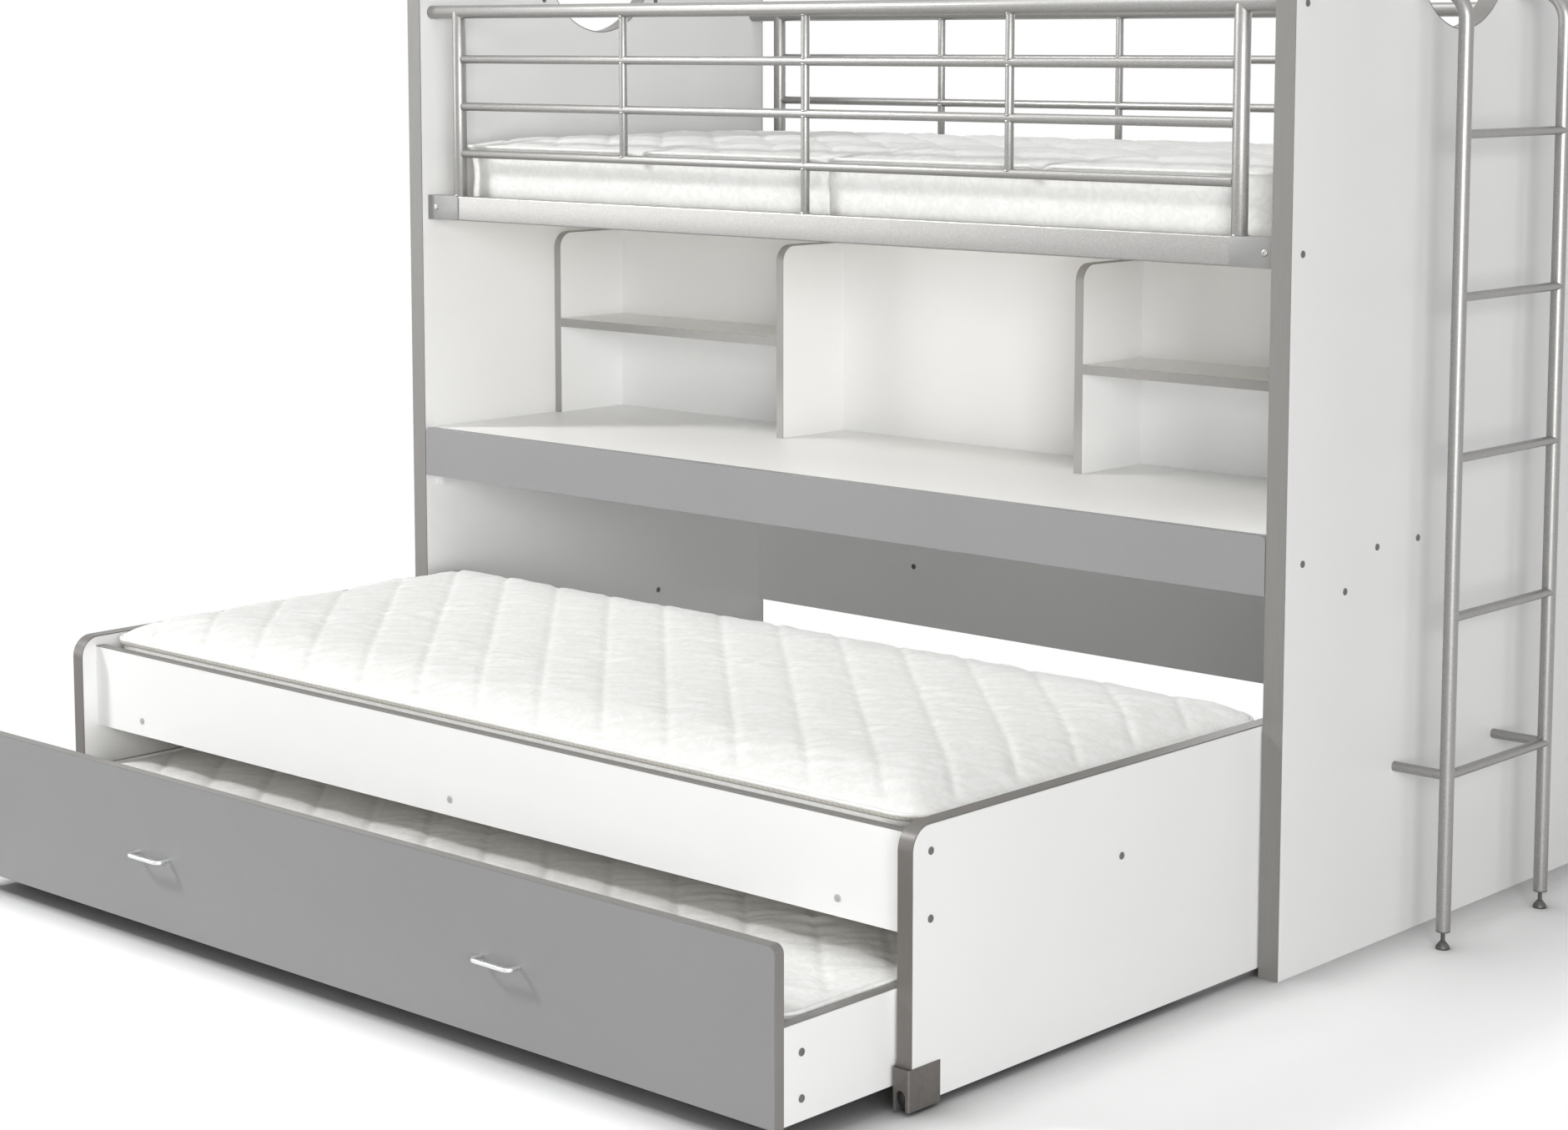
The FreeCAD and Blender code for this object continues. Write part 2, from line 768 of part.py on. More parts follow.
def mattress(half_length, front, back, bottom, edge, crown, quilted):
    length, width = 2 * half_length, back - front
    middle_y = (front + back) / 2

    def ring(z, inset):
        x, y = length / 2 - inset, width / 2 - inset
        radius = max(mattress_corner_radius - inset * mattress_corner_taper, mattress_tuck)
        places = ((-x, -y), (x, -y), (x, y), (-x, y))
        return rounded_wire([(Vector(px, middle_y + py, bottom + z), radius) for px, py in places])

    low, middle, high = (edge * share for share in mattress_side_shares)
    body = Part.makeLoft([
        ring(0, mattress_tuck),
        ring(low, 0),
        ring(middle, mattress_drawn_in),
        ring(high, 0),
        ring(edge + crown * mattress_shoulder_share, mattress_crown_inset),
        ring(edge + crown, mattress_plateau_inset),
    ], True, True)
    if not quilted:
        return body
    top = bottom + edge + crown
    reach = (width + length) / 2
    channels = []
    count = math.ceil(reach / quilt_pitch)
    run = Vector(-width, width, 0)
    across = Vector(run.y, -run.x, 0).normalize() * (quilt_width / 2)
    brim = Vector(0, 0, top)
    for index in range(-count, count + 1):
        start = Vector(quilt_shift + index * quilt_pitch + width / 2, middle_y - width / 2, 0)
        points = [
            start + brim - across,
            start + brim + across,
            start + Vector(0, 0, top - quilt_depth),
        ]
        channels.append(extruded(Part.makePolygon(points + points[:1]), run))
    return body.cut(channels)


# Screw caps

def screw_caps():
    desk_screws = [
        (desk_support_setback + depth, desk_underside - desk_screw_drop)
        for depth in desk_screw_depths
    ]
    desk_screws.append((
        desk_support_setback + desk_lower_screw_depth, desk_underside - desk_lower_screw_drop
    ))
    rail_middle = upper_rail_bottom + upper_rail_height / 2
    panel_screws = desk_screws + [
        (guard_front, guard_rail_height), (guard_back, guard_rail_height),
        (guard_front, rail_middle), (guard_back, rail_middle),
    ]
    caps = caps_both_sides(panel_outer, panel_screws, cap_height)
    forward, backward = Vector(0, -1, 0), Vector(0, 1, 0)
    for sign in (-1, 1):
        x = sign * (half_width - upper_rail_bolt_inset)
        caps.append(cap(Vector(x, upper_rail_setback, rail_middle), forward, cap_height))
        rear_face = panel_depth - upper_rail_setback
        caps.append(cap(Vector(x, rear_face, rail_middle), backward, cap_height))
        screw = Vector(sign * stretcher_screw_x, stretcher_face, stretcher_screw_z)
        caps.append(cap(screw, forward, cap_height))
    for y in ladder_sides:
        for z in (first_rung_height, stile_top):
            caps.append(cap(Vector(-half_width, y, z), Vector(1, 0, 0), plug_height))
    nodes["frame_screw_caps"] = group(caps)

    screw_heights = (
        bed_rail_bottom + bed_lower_screw_rise, bed_rail_bottom + bed_screw_rise
    )
    rail_middles = (bed_rail_front + board_thickness / 2, bed_rail_back - board_thickness / 2)
    bed_screws = [(y, z) for y in rail_middles for z in screw_heights]
    bed_screws.append((bed_middle, bed_bearer_top - bed_bearer_size / 2))
    caps = caps_both_sides(bed_outer, bed_screws, cap_height)
    for x in (-bed_rail_screw_x, 0, bed_rail_screw_x):
        z = bed_bearer_top - bed_bearer_size / 2
        caps.append(cap(Vector(x, bed_rail_front, z), forward, cap_height))
    nodes["bed_screw_caps"] = group(caps)

    drawer_screws = [
        (drawer_face_back + drawer_screw_inset, drawer_bottom + rise) for rise in drawer_screw_rises
    ]
    nodes["drawer_screw_caps"] = group(
        caps_both_sides(drawer_side_outer, drawer_screws, cap_height)
    )


# The whole bed

side_panels()
rear_stretcher()
desk()
shelves()
upper_slat_top = upper_bed()
guards()
ladder()
lower_bed_ends()
lower_slat_top = lower_bed_rails()
lower_bed_wheels()
drawer_box()
nodes["drawer_handles"] = group([handle(-handle_x), handle(handle_x)])
drawer_casters()
rail_inner = upper_rail_setback + upper_rail_depth + upper_mattress_side_gap
nodes["upper_mattress"] = mattress(
    half_width - upper_mattress_end_gap, rail_inner, panel_depth - rail_inner, upper_slat_top,
    upper_mattress_edge, upper_mattress_crown, False,
)
rail_inner = bed_rail_setback + board_thickness + lower_mattress_side_gap
nodes["lower_mattress"] = mattress(
    bed_inner - lower_mattress_end_gap, bed_front + rail_inner, bed_back - rail_inner, lower_slat_top,
    lower_mattress_edge, lower_mattress_crown, True,
)
nodes["drawer_mattress"] = mattress(
    drawer_side_inner - drawer_mattress_end_gap, drawer_face_back + drawer_mattress_side_gap,
    drawer_back_face - drawer_mattress_side_gap, drawer_base_top,
    drawer_mattress_edge, drawer_mattress_crown, False,
)
screw_caps()

# The origin is the middle of the footprint, on the floor.
whole_box = FreeCAD.BoundBox()
for shape in nodes.values():
    whole_box.add(shape.optimalBoundingBox(False, False))
to_origin = Vector(-whole_box.Center.x, -whole_box.Center.y, -whole_box.ZMin)
for name, shape in nodes.items():
    shape.translated(to_origin).exportStep("parts/" + name + ".step")
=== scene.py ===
import math
import bmesh
import bpy
from mathutils import Matrix, Vector, noise


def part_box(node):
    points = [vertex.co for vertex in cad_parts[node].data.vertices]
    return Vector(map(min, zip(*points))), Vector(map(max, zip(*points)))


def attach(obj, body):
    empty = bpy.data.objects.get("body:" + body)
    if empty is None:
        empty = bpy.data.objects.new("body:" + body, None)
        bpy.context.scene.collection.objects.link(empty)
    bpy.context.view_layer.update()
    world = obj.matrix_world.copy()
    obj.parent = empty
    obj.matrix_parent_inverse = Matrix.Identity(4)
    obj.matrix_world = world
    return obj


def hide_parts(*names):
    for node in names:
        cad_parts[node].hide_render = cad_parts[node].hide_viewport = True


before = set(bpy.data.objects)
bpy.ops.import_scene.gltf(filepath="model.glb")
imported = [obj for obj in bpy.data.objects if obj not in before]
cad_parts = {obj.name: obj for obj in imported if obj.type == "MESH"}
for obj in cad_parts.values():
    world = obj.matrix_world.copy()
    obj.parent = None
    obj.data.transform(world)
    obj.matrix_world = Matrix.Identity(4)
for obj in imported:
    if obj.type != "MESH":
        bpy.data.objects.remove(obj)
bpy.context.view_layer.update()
print("frame loaded with", len(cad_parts), "nodes")


# Working helpers, with their distances in metres and angles in degrees

working = {
    "merge": 0.00001, "weld": 0.000001, "facing": 0.9, "arrisAngle": 40, "arrisSteps": 2, "tubeArris": 0.08,
    "beadAround": 28, "beadAcross": 8,
}


def only(piece):
    if bpy.context.mode != "OBJECT":
        bpy.ops.object.mode_set(mode="OBJECT")
    bpy.ops.object.select_all(action="DESELECT")
    piece.select_set(True)
    bpy.context.view_layer.objects.active = piece


def named(name):
    # names the primitive that was just added and puts its place into its mesh
    piece = bpy.context.object
    piece.name = name
    piece.data.name = name
    bpy.ops.object.transform_apply(location=True, rotation=True, scale=True)
    return piece


def openEdit(piece, kind):
    only(piece)
    bpy.ops.object.mode_set(mode="EDIT")
    bpy.ops.mesh.select_mode(type=kind)
    bpy.ops.mesh.select_all(action="DESELECT")


def closeEdit():
    bpy.ops.object.mode_set(mode="OBJECT")


def pulled(x, y, z):
    # extrudes what is selected in the piece being edited
    bpy.ops.mesh.extrude_region_move(TRANSFORM_OT_translate={"value": (x, y, z)})


def selectFaces(piece, test):
    grid = bmesh.from_edit_mesh(piece.data)
    for face in grid.faces:
        if test(face.calc_center_median(), face.normal):
            face.select_set(True)
    bmesh.update_edit_mesh(piece.data)


def selectEdges(piece, test):
    grid = bmesh.from_edit_mesh(piece.data)
    for edge in grid.edges:
        if test(edge.verts[0].co, edge.verts[1].co):
            edge.select_set(True)
    bmesh.update_edit_mesh(piece.data)


def modify(piece, kind, settings):
    only(piece)
    modifier = piece.modifiers.new(kind.lower(), kind)
    for key, value in settings.items():
        setattr(modifier, key, value)
    bpy.ops.object.modifier_apply(modifier=modifier.name)


def softened(piece, width):
    # takes the arris off the sharp edges
    modify(piece, "BEVEL", {
        "width": width, "segments": working["arrisSteps"], "limit_method": "ANGLE",
        "angle_limit": math.radians(working["arrisAngle"]),
    })


def cleaned(piece):
    # merged, with its faces turned outwards
    openEdit(piece, "VERT")
    bpy.ops.mesh.select_all(action="SELECT")
    bpy.ops.mesh.remove_doubles(threshold=working["merge"])
    bpy.ops.mesh.normals_make_consistent(inside=False)
    closeEdit()
    return piece


def smoothed(piece, degrees):
    only(piece)
    bpy.ops.object.shade_smooth_by_angle(angle=math.radians(degrees))
    return piece


def joined(name, pieces):
    only(pieces[0])
    for piece in pieces:
        piece.select_set(True)
    bpy.ops.object.join()
    piece = bpy.context.object
    piece.name = name
    piece.data.name = name
    return piece


def copied(piece, name, shift=Vector((0, 0, 0))):
    twin = bpy.data.objects.new(name, piece.data.copy())
    bpy.context.scene.collection.objects.link(twin)
    twin.data.transform(Matrix.Translation(shift))
    return twin


def dressed(piece, body, slotName, nodes, finish=None):
    # in its slot's own finish, unless another is given
    piece.data.materials.clear()
    piece.data.materials.append(finish or finishes[slotName])
    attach(piece, body)
    if nodes:
        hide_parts(*nodes)
    return piece


def camel(nodeName):
    words = nodeName.split("_")
    return words[0] + "".join(word.capitalize() for word in words[1:])


def looseBoxes(nodeName):
    # the box of each separate solid in a node
    grid = bmesh.new()
    grid.from_mesh(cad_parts[nodeName].data)
    bmesh.ops.remove_doubles(grid, verts=grid.verts[:], dist=working["weld"])
    boxes = []
    waiting = set(grid.verts)
    while waiting:
        island = [waiting.pop()]
        for vert in island:
            for edge in vert.link_edges:
                other = edge.other_vert(vert)
                if other in waiting:
                    waiting.remove(other)
                    island.append(other)
        low = Vector(min(vert.co[axis] for vert in island) for axis in range(3))
        high = Vector(max(vert.co[axis] for vert in island) for axis in range(3))
        boxes.append((low, high))
    grid.free()
    return sorted(boxes, key=lambda box: tuple(box[0]))


def tube(start, end, radius, sides):
    run = end - start
    bpy.ops.mesh.primitive_cylinder_add(
        vertices=sides, radius=radius, depth=run.length, location=(start + end) / 2,
        rotation=run.to_track_quat("Z", "Y").to_euler(),
    )
    piece = named("tube")
    openEdit(piece, "FACE")
    selectFaces(piece, lambda centre, normal: abs(normal.dot(run.normalized())) > working["facing"])
    bpy.ops.mesh.bevel(offset=radius * working["tubeArris"], segments=working["arrisSteps"])
    closeEdit()
    return piece


def bead(place, along, radius, thickness):
    # the fillet of weld round the end of a tube
    bpy.ops.mesh.primitive_torus_add(
        major_radius=radius, minor_radius=thickness, major_segments=working["beadAround"],
        minor_segments=working["beadAcross"], location=place,
        rotation=along.to_track_quat("Z", "Y").to_euler(),
    )
    return named("bead")


def turned(name, base, along, profile, sides, bored=False):
    # turned on a lathe: profile holds (radius, height) pairs from the base along the axis
    radius, height = profile[0]
    bpy.ops.mesh.primitive_circle_add(
        vertices=sides, radius=radius, fill_type="NOTHING" if bored else "NGON",
        location=(0, 0, height),
    )
    piece = named(name)
    openEdit(piece, "VERT")
    bpy.ops.mesh.select_all(action="SELECT")
    for nextRadius, nextHeight in profile[1:]:
        pulled(0, 0, nextHeight - height)
        share = nextRadius / radius
        bpy.ops.transform.resize(value=(share, share, 1))
        radius, height = nextRadius, nextHeight
    closeEdit()
    cleaned(piece)
    piece.rotation_euler = along.to_track_quat("Z", "Y").to_euler()
    piece.location = base
    only(piece)
    bpy.ops.object.transform_apply(location=True, rotation=True, scale=True)
    return piece


# Materials

def hexColour(text):
    channels = [int(text[i:i + 2], 16) / 255 for i in (1, 3, 5)]
    linear = [c / 12.92 if c <= 0.04045 else ((c + 0.055) / 1.055) ** 2.4 for c in channels]
    return (*linear, 1.0)


def perMm(size):
    # a pattern scale from the size in millimetres of one of its features
    return 1000.0 / size


def addNode(tree, kind, settings=None, links=None):
    node = tree.nodes.new(kind)
    for key, value in (settings or {}).items():
        if hasattr(node, key):
            setattr(node, key, value)
        else:
            node.inputs[key].default_value = value
    for key, source in (links or {}).items():
        tree.links.new(source, node.inputs[key])
    return node


def startMaterial(name):
    material = bpy.data.materials.new(name)
    material.use_nodes = True
    tree = material.node_tree
    tree.nodes.clear()
    place = addNode(tree, "ShaderNodeTexCoord").outputs["Object"]
    return material, tree, place


def surfaced(material, spec, toneBy, glossBy, reliefBy=None, fleckBy=None):
    # how each hard surface ends: patterns move its tone and its gloss, and add a relief or a fleck
    tree = material.node_tree
    tone = addNode(
        tree, "ShaderNodeMixRGB",
        {"Color1": hexColour(spec["tones"][0]), "Color2": hexColour(spec["tones"][1])}, {"Fac": toneBy},
    )
    if fleckBy is not None:
        tone = addNode(
            tree, "ShaderNodeMixRGB", {"Color2": hexColour(spec["fleck"])},
            {"Fac": fleckBy, "Color1": tone.outputs["Color"]},
        )
    gloss = addNode(
        tree, "ShaderNodeMapRange", {"To Min": spec["gloss"][0], "To Max": spec["gloss"][1]},
        {"Value": glossBy},
    )
    links = {"Base Color": tone.outputs["Color"], "Roughness": gloss.outputs["Result"]}
    if reliefBy is not None:
        bump = addNode(
            tree, "ShaderNodeBump", {"Strength": spec["relief"], "Distance": spec["reliefDepth"]},
            {"Height": reliefBy},
        )
        links["Normal"] = bump.outputs["Normal"]
    shader = addNode(tree, "ShaderNodeBsdfPrincipled", spec["shader"], links)
    addNode(tree, "ShaderNodeOutputMaterial", {}, {"Surface": shader.outputs["BSDF"]})
    return material


whiteBoard = {
    "tones": ("#F4F4F3", "#F0F0EF"), "patchMm": 300, "patchDetail": 3.0, "peelMm": 2.4, "peelDetail": 2.0,
    "fleck": None, "gloss": (0.34, 0.44), "relief": 0.05, "reliefDepth": 0.0003, "shader": {"IOR": 1.5},
}
greyBoard = {
    "tones": ("#8E8E8F", "#858586"), "patchMm": 420, "patchDetail": 2.0, "peelMm": 2.0, "peelDetail": 2.0,
    "fleck": "#7B7B7D", "fleckMm": 1.6, "fleckDetail": 1.0, "fleckFrom": 0.55, "fleckTo": 0.75,
    "fleckMost": 0.5, "gloss": (0.32, 0.42), "relief": 0.05, "reliefDepth": 0.0003, "shader": {"IOR": 1.5},
}


def makeMelamine(name, spec):
    # Melamine-faced chipboard: hard resin paper, pressed with a fine pearl that breaks up the gloss;
    # the grey paper is printed with a metallic fleck too, which reads as a soft grain; pearl and fleck
    # are drawn coarse to show
    material, tree, place = startMaterial(name)
    patches = addNode(
        tree, "ShaderNodeTexNoise", {"Scale": perMm(spec["patchMm"]), "Detail": spec["patchDetail"]},
        {"Vector": place},
    ).outputs["Fac"]
    peel = addNode(
        tree, "ShaderNodeTexNoise", {"Scale": perMm(spec["peelMm"]), "Detail": spec["peelDetail"]},
        {"Vector": place},
    ).outputs["Fac"]
    share = None
    if spec["fleck"]:
        flecks = addNode(
            tree, "ShaderNodeTexNoise", {"Scale": perMm(spec["fleckMm"]), "Detail": spec["fleckDetail"]},
            {"Vector": place},
        )
        share = addNode(
            tree, "ShaderNodeMapRange",
            {"From Min": spec["fleckFrom"], "From Max": spec["fleckTo"], "To Max": spec["fleckMost"]},
            {"Value": flecks.outputs["Fac"]},
        ).outputs["Result"]
    return surfaced(material, spec, patches, peel, peel, share)


absBand = {
    "streakMm": 1.2, "runMm": 90, "streakDetail": 2.0, "gloss": (0.30, 0.42), "relief": 0.06,
    "reliefDepth": 0.0003, "shader": {"IOR": 1.52},
}
# the darkest tone, kept for the bed ends' edging, is painted shade on the same band
# the palest tone, kept for the shelf edging, is painted light on the same band
absTones = {
    "absEdging": ("#84827F", "#767471"), "paintedShadeAbsEdging": ("#736F6B", "#66635F"),
    "paintedLightAbsEdging": ("#A9A7A4", "#9B9996"),
}


def makeAbsEdging(name):
    # Extruded ABS edge band: grey all through, trimmed with a scraper that leaves faint lengthwise lines,
    # drawn coarse to show
    material, tree, place = startMaterial(name)
    run = perMm(absBand["runMm"])
    stretched = addNode(
        tree, "ShaderNodeMapping", {"Scale": (perMm(absBand["streakMm"]), run, run)}, {"Vector": place}
    )
    streaks = addNode(
        tree, "ShaderNodeTexNoise", {"Scale": 1.0, "Detail": absBand["streakDetail"]},
        {"Vector": stretched.outputs["Vector"]},
    ).outputs["Fac"]
    return surfaced(material, {**absBand, "tones": absTones[name]}, streaks, streaks, streaks)


silverCoat = {
    "tones": ("#A1A09E", "#92918F"), "flakeMm": 1.4, "peelMm": 3.0, "peelDetail": 2.0, "gloss": (0.30, 0.42),
    "relief": 0.05, "reliefDepth": 0.0003, "shader": {"Metallic": 0.75},
}


def makeSilverPowderCoat():
    # Powder-coated steel tube: aluminium flake in a baked resin, so a metal sheen under a soft orange peel;
    # the flake is drawn coarse to show
    material, tree, place = startMaterial("silverPowderCoat")
    flakes = addNode(
        tree, "ShaderNodeTexVoronoi", {"Scale": perMm(silverCoat["flakeMm"])}, {"Vector": place}
    )
    shares = addNode(tree, "ShaderNodeSeparateColor", {}, {"Color": flakes.outputs["Color"]})
    peel = addNode(
        tree, "ShaderNodeTexNoise",
        {"Scale": perMm(silverCoat["peelMm"]), "Detail": silverCoat["peelDetail"]}, {"Vector": place},
    )
    return surfaced(
        material, silverCoat, shares.outputs["Red"], shares.outputs["Green"], peel.outputs["Fac"]
    )


# a wave texture at scale 1 goes through 20 radians in a metre, diagonal bands 10 along each axis
waveTurn = 2 * math.pi / 20
diagonalTurn = 2 * math.pi / 10
ticking = {
    "tones": ("#E9E9E6", "#EFEFED"), "threadMm": 4.3425, "weave": 0.10, "weaveDepth": 0.0006,
    "motifMm": 24, "motifDetail": 2.5, "motifTwist": 1.6, "motifFrom": 0.42, "motifTo": 0.58, "motif": 0.08,
    "motifDepth": 0.0015, "shader": {"Roughness": 0.72, "Sheen Weight": 0.25, "Sheen Roughness": 0.4},
}


def makeMattressTicking():
    # White polyester ticking: a jacquard weave whose raised motif catches the light, drawn coarse to show
    material, tree, place = startMaterial("mattressTicking")
    threads = [
        addNode(
            tree, "ShaderNodeTexWave",
            {
                "wave_type": "BANDS", "bands_direction": direction,
                "Scale": perMm(ticking["threadMm"]) * waveTurn,
            },
            {"Vector": place},
        )
        for direction in ("X", "Y")
    ]
    weave = addNode(
        tree, "ShaderNodeMath", {"operation": "MULTIPLY"},
        {0: threads[0].outputs["Fac"], 1: threads[1].outputs["Fac"]},
    )
    motif = addNode(
        tree, "ShaderNodeTexNoise",
        {
            "Scale": perMm(ticking["motifMm"]), "Detail": ticking["motifDetail"],
            "Distortion": ticking["motifTwist"],
        },
        {"Vector": place},
    )
    raised = addNode(
        tree, "ShaderNodeMapRange",
        {
            "interpolation_type": "SMOOTHSTEP", "From Min": ticking["motifFrom"],
            "From Max": ticking["motifTo"],
        },
        {"Value": motif.outputs["Fac"]},
    )
    tone = addNode(
        tree, "ShaderNodeMixRGB",
        {"Color1": hexColour(ticking["tones"][0]), "Color2": hexColour(ticking["tones"][1])},
        {"Fac": raised.outputs["Result"]},
    )
    weaveBump = addNode(
        tree, "ShaderNodeBump", {"Strength": ticking["weave"], "Distance": ticking["weaveDepth"]},
        {"Height": weave.outputs["Value"]},
    )
    motifBump = addNode(
        tree, "ShaderNodeBump", {"Strength": ticking["motif"], "Distance": ticking["motifDepth"]},
        {"Height": raised.outputs["Result"], "Normal": weaveBump.outputs["Normal"]},
    )
    shader = addNode(
        tree, "ShaderNodeBsdfPrincipled", ticking["shader"],
        {"Base Color": tone.outputs["Color"], "Normal": motifBump.outputs["Normal"]},
    )
    addNode(tree, "ShaderNodeOutputMaterial", {}, {"Surface": shader.outputs["BSDF"]})
    return material


shadowLineTape = {
    "tones": ("#A19E96", "#B0ADA5"), "ribMm": 11.8432, "rib": 0.3, "ribDepth": 0.0005,
    "shader": {"Roughness": 0.8, "Sheen Weight": 0.2},
}


def makeShadowLineTape():
    # Woven polyester tape: matt warm grey, ribbed across, the ribs drawn coarse to show
    # its grey is painted shadow, standing for the shadow line under the top piping
    material, tree, place = startMaterial("wovenEdgeTape")
    ribs = addNode(
        tree, "ShaderNodeTexWave",
        {
            "wave_type": "BANDS", "bands_direction": "DIAGONAL",
            "Scale": perMm(shadowLineTape["ribMm"]) * diagonalTurn,
        },
        {"Vector": place},
    )
    tone = addNode(
        tree, "ShaderNodeMixRGB",
        {"Color1": hexColour(shadowLineTape["tones"][0]), "Color2": hexColour(shadowLineTape["tones"][1])},
        {"Fac": ribs.outputs["Fac"]},
    )
    bump = addNode(
        tree, "ShaderNodeBump", {"Strength": shadowLineTape["rib"], "Distance": shadowLineTape["ribDepth"]},
        {"Height": ribs.outputs["Fac"]},
    )
    shader = addNode(
        tree, "ShaderNodeBsdfPrincipled", shadowLineTape["shader"],
        {"Base Color": tone.outputs["Color"], "Normal": bump.outputs["Normal"]},
    )
    addNode(tree, "ShaderNodeOutputMaterial", {}, {"Surface": shader.outputs["BSDF"]})
    return material


slatWood = {
    "tones": ("#EFE8DB", "#DDD1BA"), "ringMm": 9, "drawnOut": 14, "ringDetail": 4.0, "knotMm": 160,
    "knotDetail": 2.0, "gloss": (0.5, 0.65), "relief": 0.15, "reliefDepth": 0.0004, "shader": {"IOR": 1.45},
}


def makeSlatPine():
    # Planed pine slats: pale sapwood with brown growth rings drawn out along the board
    material, tree, place = startMaterial("slatPine")
    wander = addNode(
        tree, "ShaderNodeTexNoise",
        {"Scale": perMm(slatWood["knotMm"]), "Detail": slatWood["knotDetail"]}, {"Vector": place},
    )
    ring = perMm(slatWood["ringMm"])
    drawn = addNode(
        tree, "ShaderNodeMapping", {"Scale": (ring, ring / slatWood["drawnOut"], ring)}, {"Vector": place}
    )
    rings = addNode(
        tree, "ShaderNodeTexNoise", {"Scale": 1.0, "Detail": slatWood["ringDetail"]},
        {"Vector": drawn.outputs["Vector"], "Distortion": wander.outputs["Fac"]},
    ).outputs["Fac"]
    return surfaced(material, slatWood, rings, rings, rings)


handleMetal = {
    "tones": ("#E9EAEA", "#DADBDC"), "brushMm": 0.8, "runMm": 40, "brushDetail": 3.0, "gloss": (0.24, 0.38),
    "shader": {"Metallic": 1.0},
}


def makeHandleAluminium():
    # Anodised aluminium: brushed along the bow before it was anodised, so the shine is drawn out lengthwise;
    # the strokes are drawn coarse to show
    material, tree, place = startMaterial("anodisedAluminium")
    brush = perMm(handleMetal["brushMm"])
    drawn = addNode(
        tree, "ShaderNodeMapping", {"Scale": (perMm(handleMetal["runMm"]), brush, brush)}, {"Vector": place}
    )
    strokes = addNode(
        tree, "ShaderNodeTexNoise", {"Scale": 1.0, "Detail": handleMetal["brushDetail"]},
        {"Vector": drawn.outputs["Vector"]},
    ).outputs["Fac"]
    return surfaced(material, handleMetal, strokes, strokes)


mottledFinishes = {
    # Phosphated sheet steel: a dull brown-grey, mottled by the bath, its crystal grain drawn coarse to show
    "phosphatedSteel": {
        "tones": ("#74706C", "#5F5B58"), "mottleMm": 14, "mottleDetail": 4.0, "grainMm": 1.5,
        "grainDetail": 2.0, "gloss": (0.42, 0.6), "relief": 0.1, "reliefDepth": 0.0002,
        "shader": {"Metallic": 0.35},
    },
    # Lacquered sheet steel: paler and a little smoother, its grain drawn coarse to show
    "lacqueredSteel": {
        "tones": ("#939392", "#868685"), "mottleMm": 18, "mottleDetail": 4.0, "grainMm": 1.2,
        "grainDetail": 2.0, "gloss": (0.36, 0.5), "relief": 0.1, "reliefDepth": 0.0002,
        "shader": {"Metallic": 0.35},
    },
    # Zinc-plated steel rod: bright and slightly clouded
    "zincPlatedSteel": {
        "tones": ("#BEBDB8", "#9C9A95"), "mottleMm": 3, "mottleDetail": 3.0, "grainMm": None,
        "gloss": (0.25, 0.4), "shader": {"Metallic": 1.0},
    },
    # Moulded black nylon: satin, scuffed paler where it rolls
    "blackNylon": {
        "tones": ("#1C1C1D", "#2B2B2C"), "mottleMm": 6, "mottleDetail": 4.0, "grainMm": 6,
        "grainDetail": 4.0, "gloss": (0.4, 0.62), "relief": 0.12, "reliefDepth": 0.0002,
        "shader": {"IOR": 1.53},
    },
    # Moulded polypropylene, in two greys: a spark-eroded grain that dulls it, drawn coarse to show
    "greyPolypropylene": {
        "tones": ("#6C6C69", "#5E5E5B"), "mottleMm": 0.9, "mottleDetail": 2.0, "grainMm": None,
        "gloss": (0.35, 0.5), "shader": {"IOR": 1.49},
    },
    "palePolypropylene": {
        "tones": ("#B9B9B7", "#A9A9A7"), "mottleMm": 0.9, "mottleDetail": 2.0, "grainMm": None,
        "gloss": (0.35, 0.5), "shader": {"IOR": 1.49},
    },
    # Blackened steel foot: dark, with a dull sheen and a slightly cast skin
    "blackenedSteel": {
        "tones": ("#6A6B67", "#4C4D4A"), "mottleMm": 5, "mottleDetail": 4.0, "grainMm": 5,
        "grainDetail": 4.0, "gloss": (0.4, 0.55), "relief": 0.15, "reliefDepth": 0.0002,
        "shader": {"Metallic": 0.6},
    },
}


def makeMottled(name):
    # one noise moves colour and gloss together, and a grain gives the relief where there is one
    spec = mottledFinishes[name]
    material, tree, place = startMaterial(name)
    mottle = addNode(
        tree, "ShaderNodeTexNoise", {"Scale": perMm(spec["mottleMm"]), "Detail": spec["mottleDetail"]},
        {"Vector": place},
    ).outputs["Fac"]
    grain = None
    if spec["grainMm"]:
        grain = addNode(
            tree, "ShaderNodeTexNoise", {"Scale": perMm(spec["grainMm"]), "Detail": spec["grainDetail"]},
            {"Vector": place},
        ).outputs["Fac"]
    return surfaced(material, spec, mottle, mottle, grain)


finishes = {
    "white_melamine": makeMelamine("whiteMelamine", whiteBoard),
    "grey_melamine": makeMelamine("greyMelamine", greyBoard),
    "grey_edging": makeAbsEdging("absEdging"),
    "silver_lacquer": makeSilverPowderCoat(),
    "mattress_ticking": makeMattressTicking(),
    "slat_pine": makeSlatPine(),
    "bracket_steel": makeMottled("phosphatedSteel"),
    "axle_steel": makeMottled("zincPlatedSteel"),
    "wheel_plastic": makeMottled("blackNylon"),
    "cap_plastic": makeMottled("greyPolypropylene"),
    "foot_steel": makeMottled("blackenedSteel"),
    "handle_aluminium": makeHandleAluminium(),
}
print("materials made:", len(finishes))


# Boards and bands: each is its node's own shape with the arris taken off

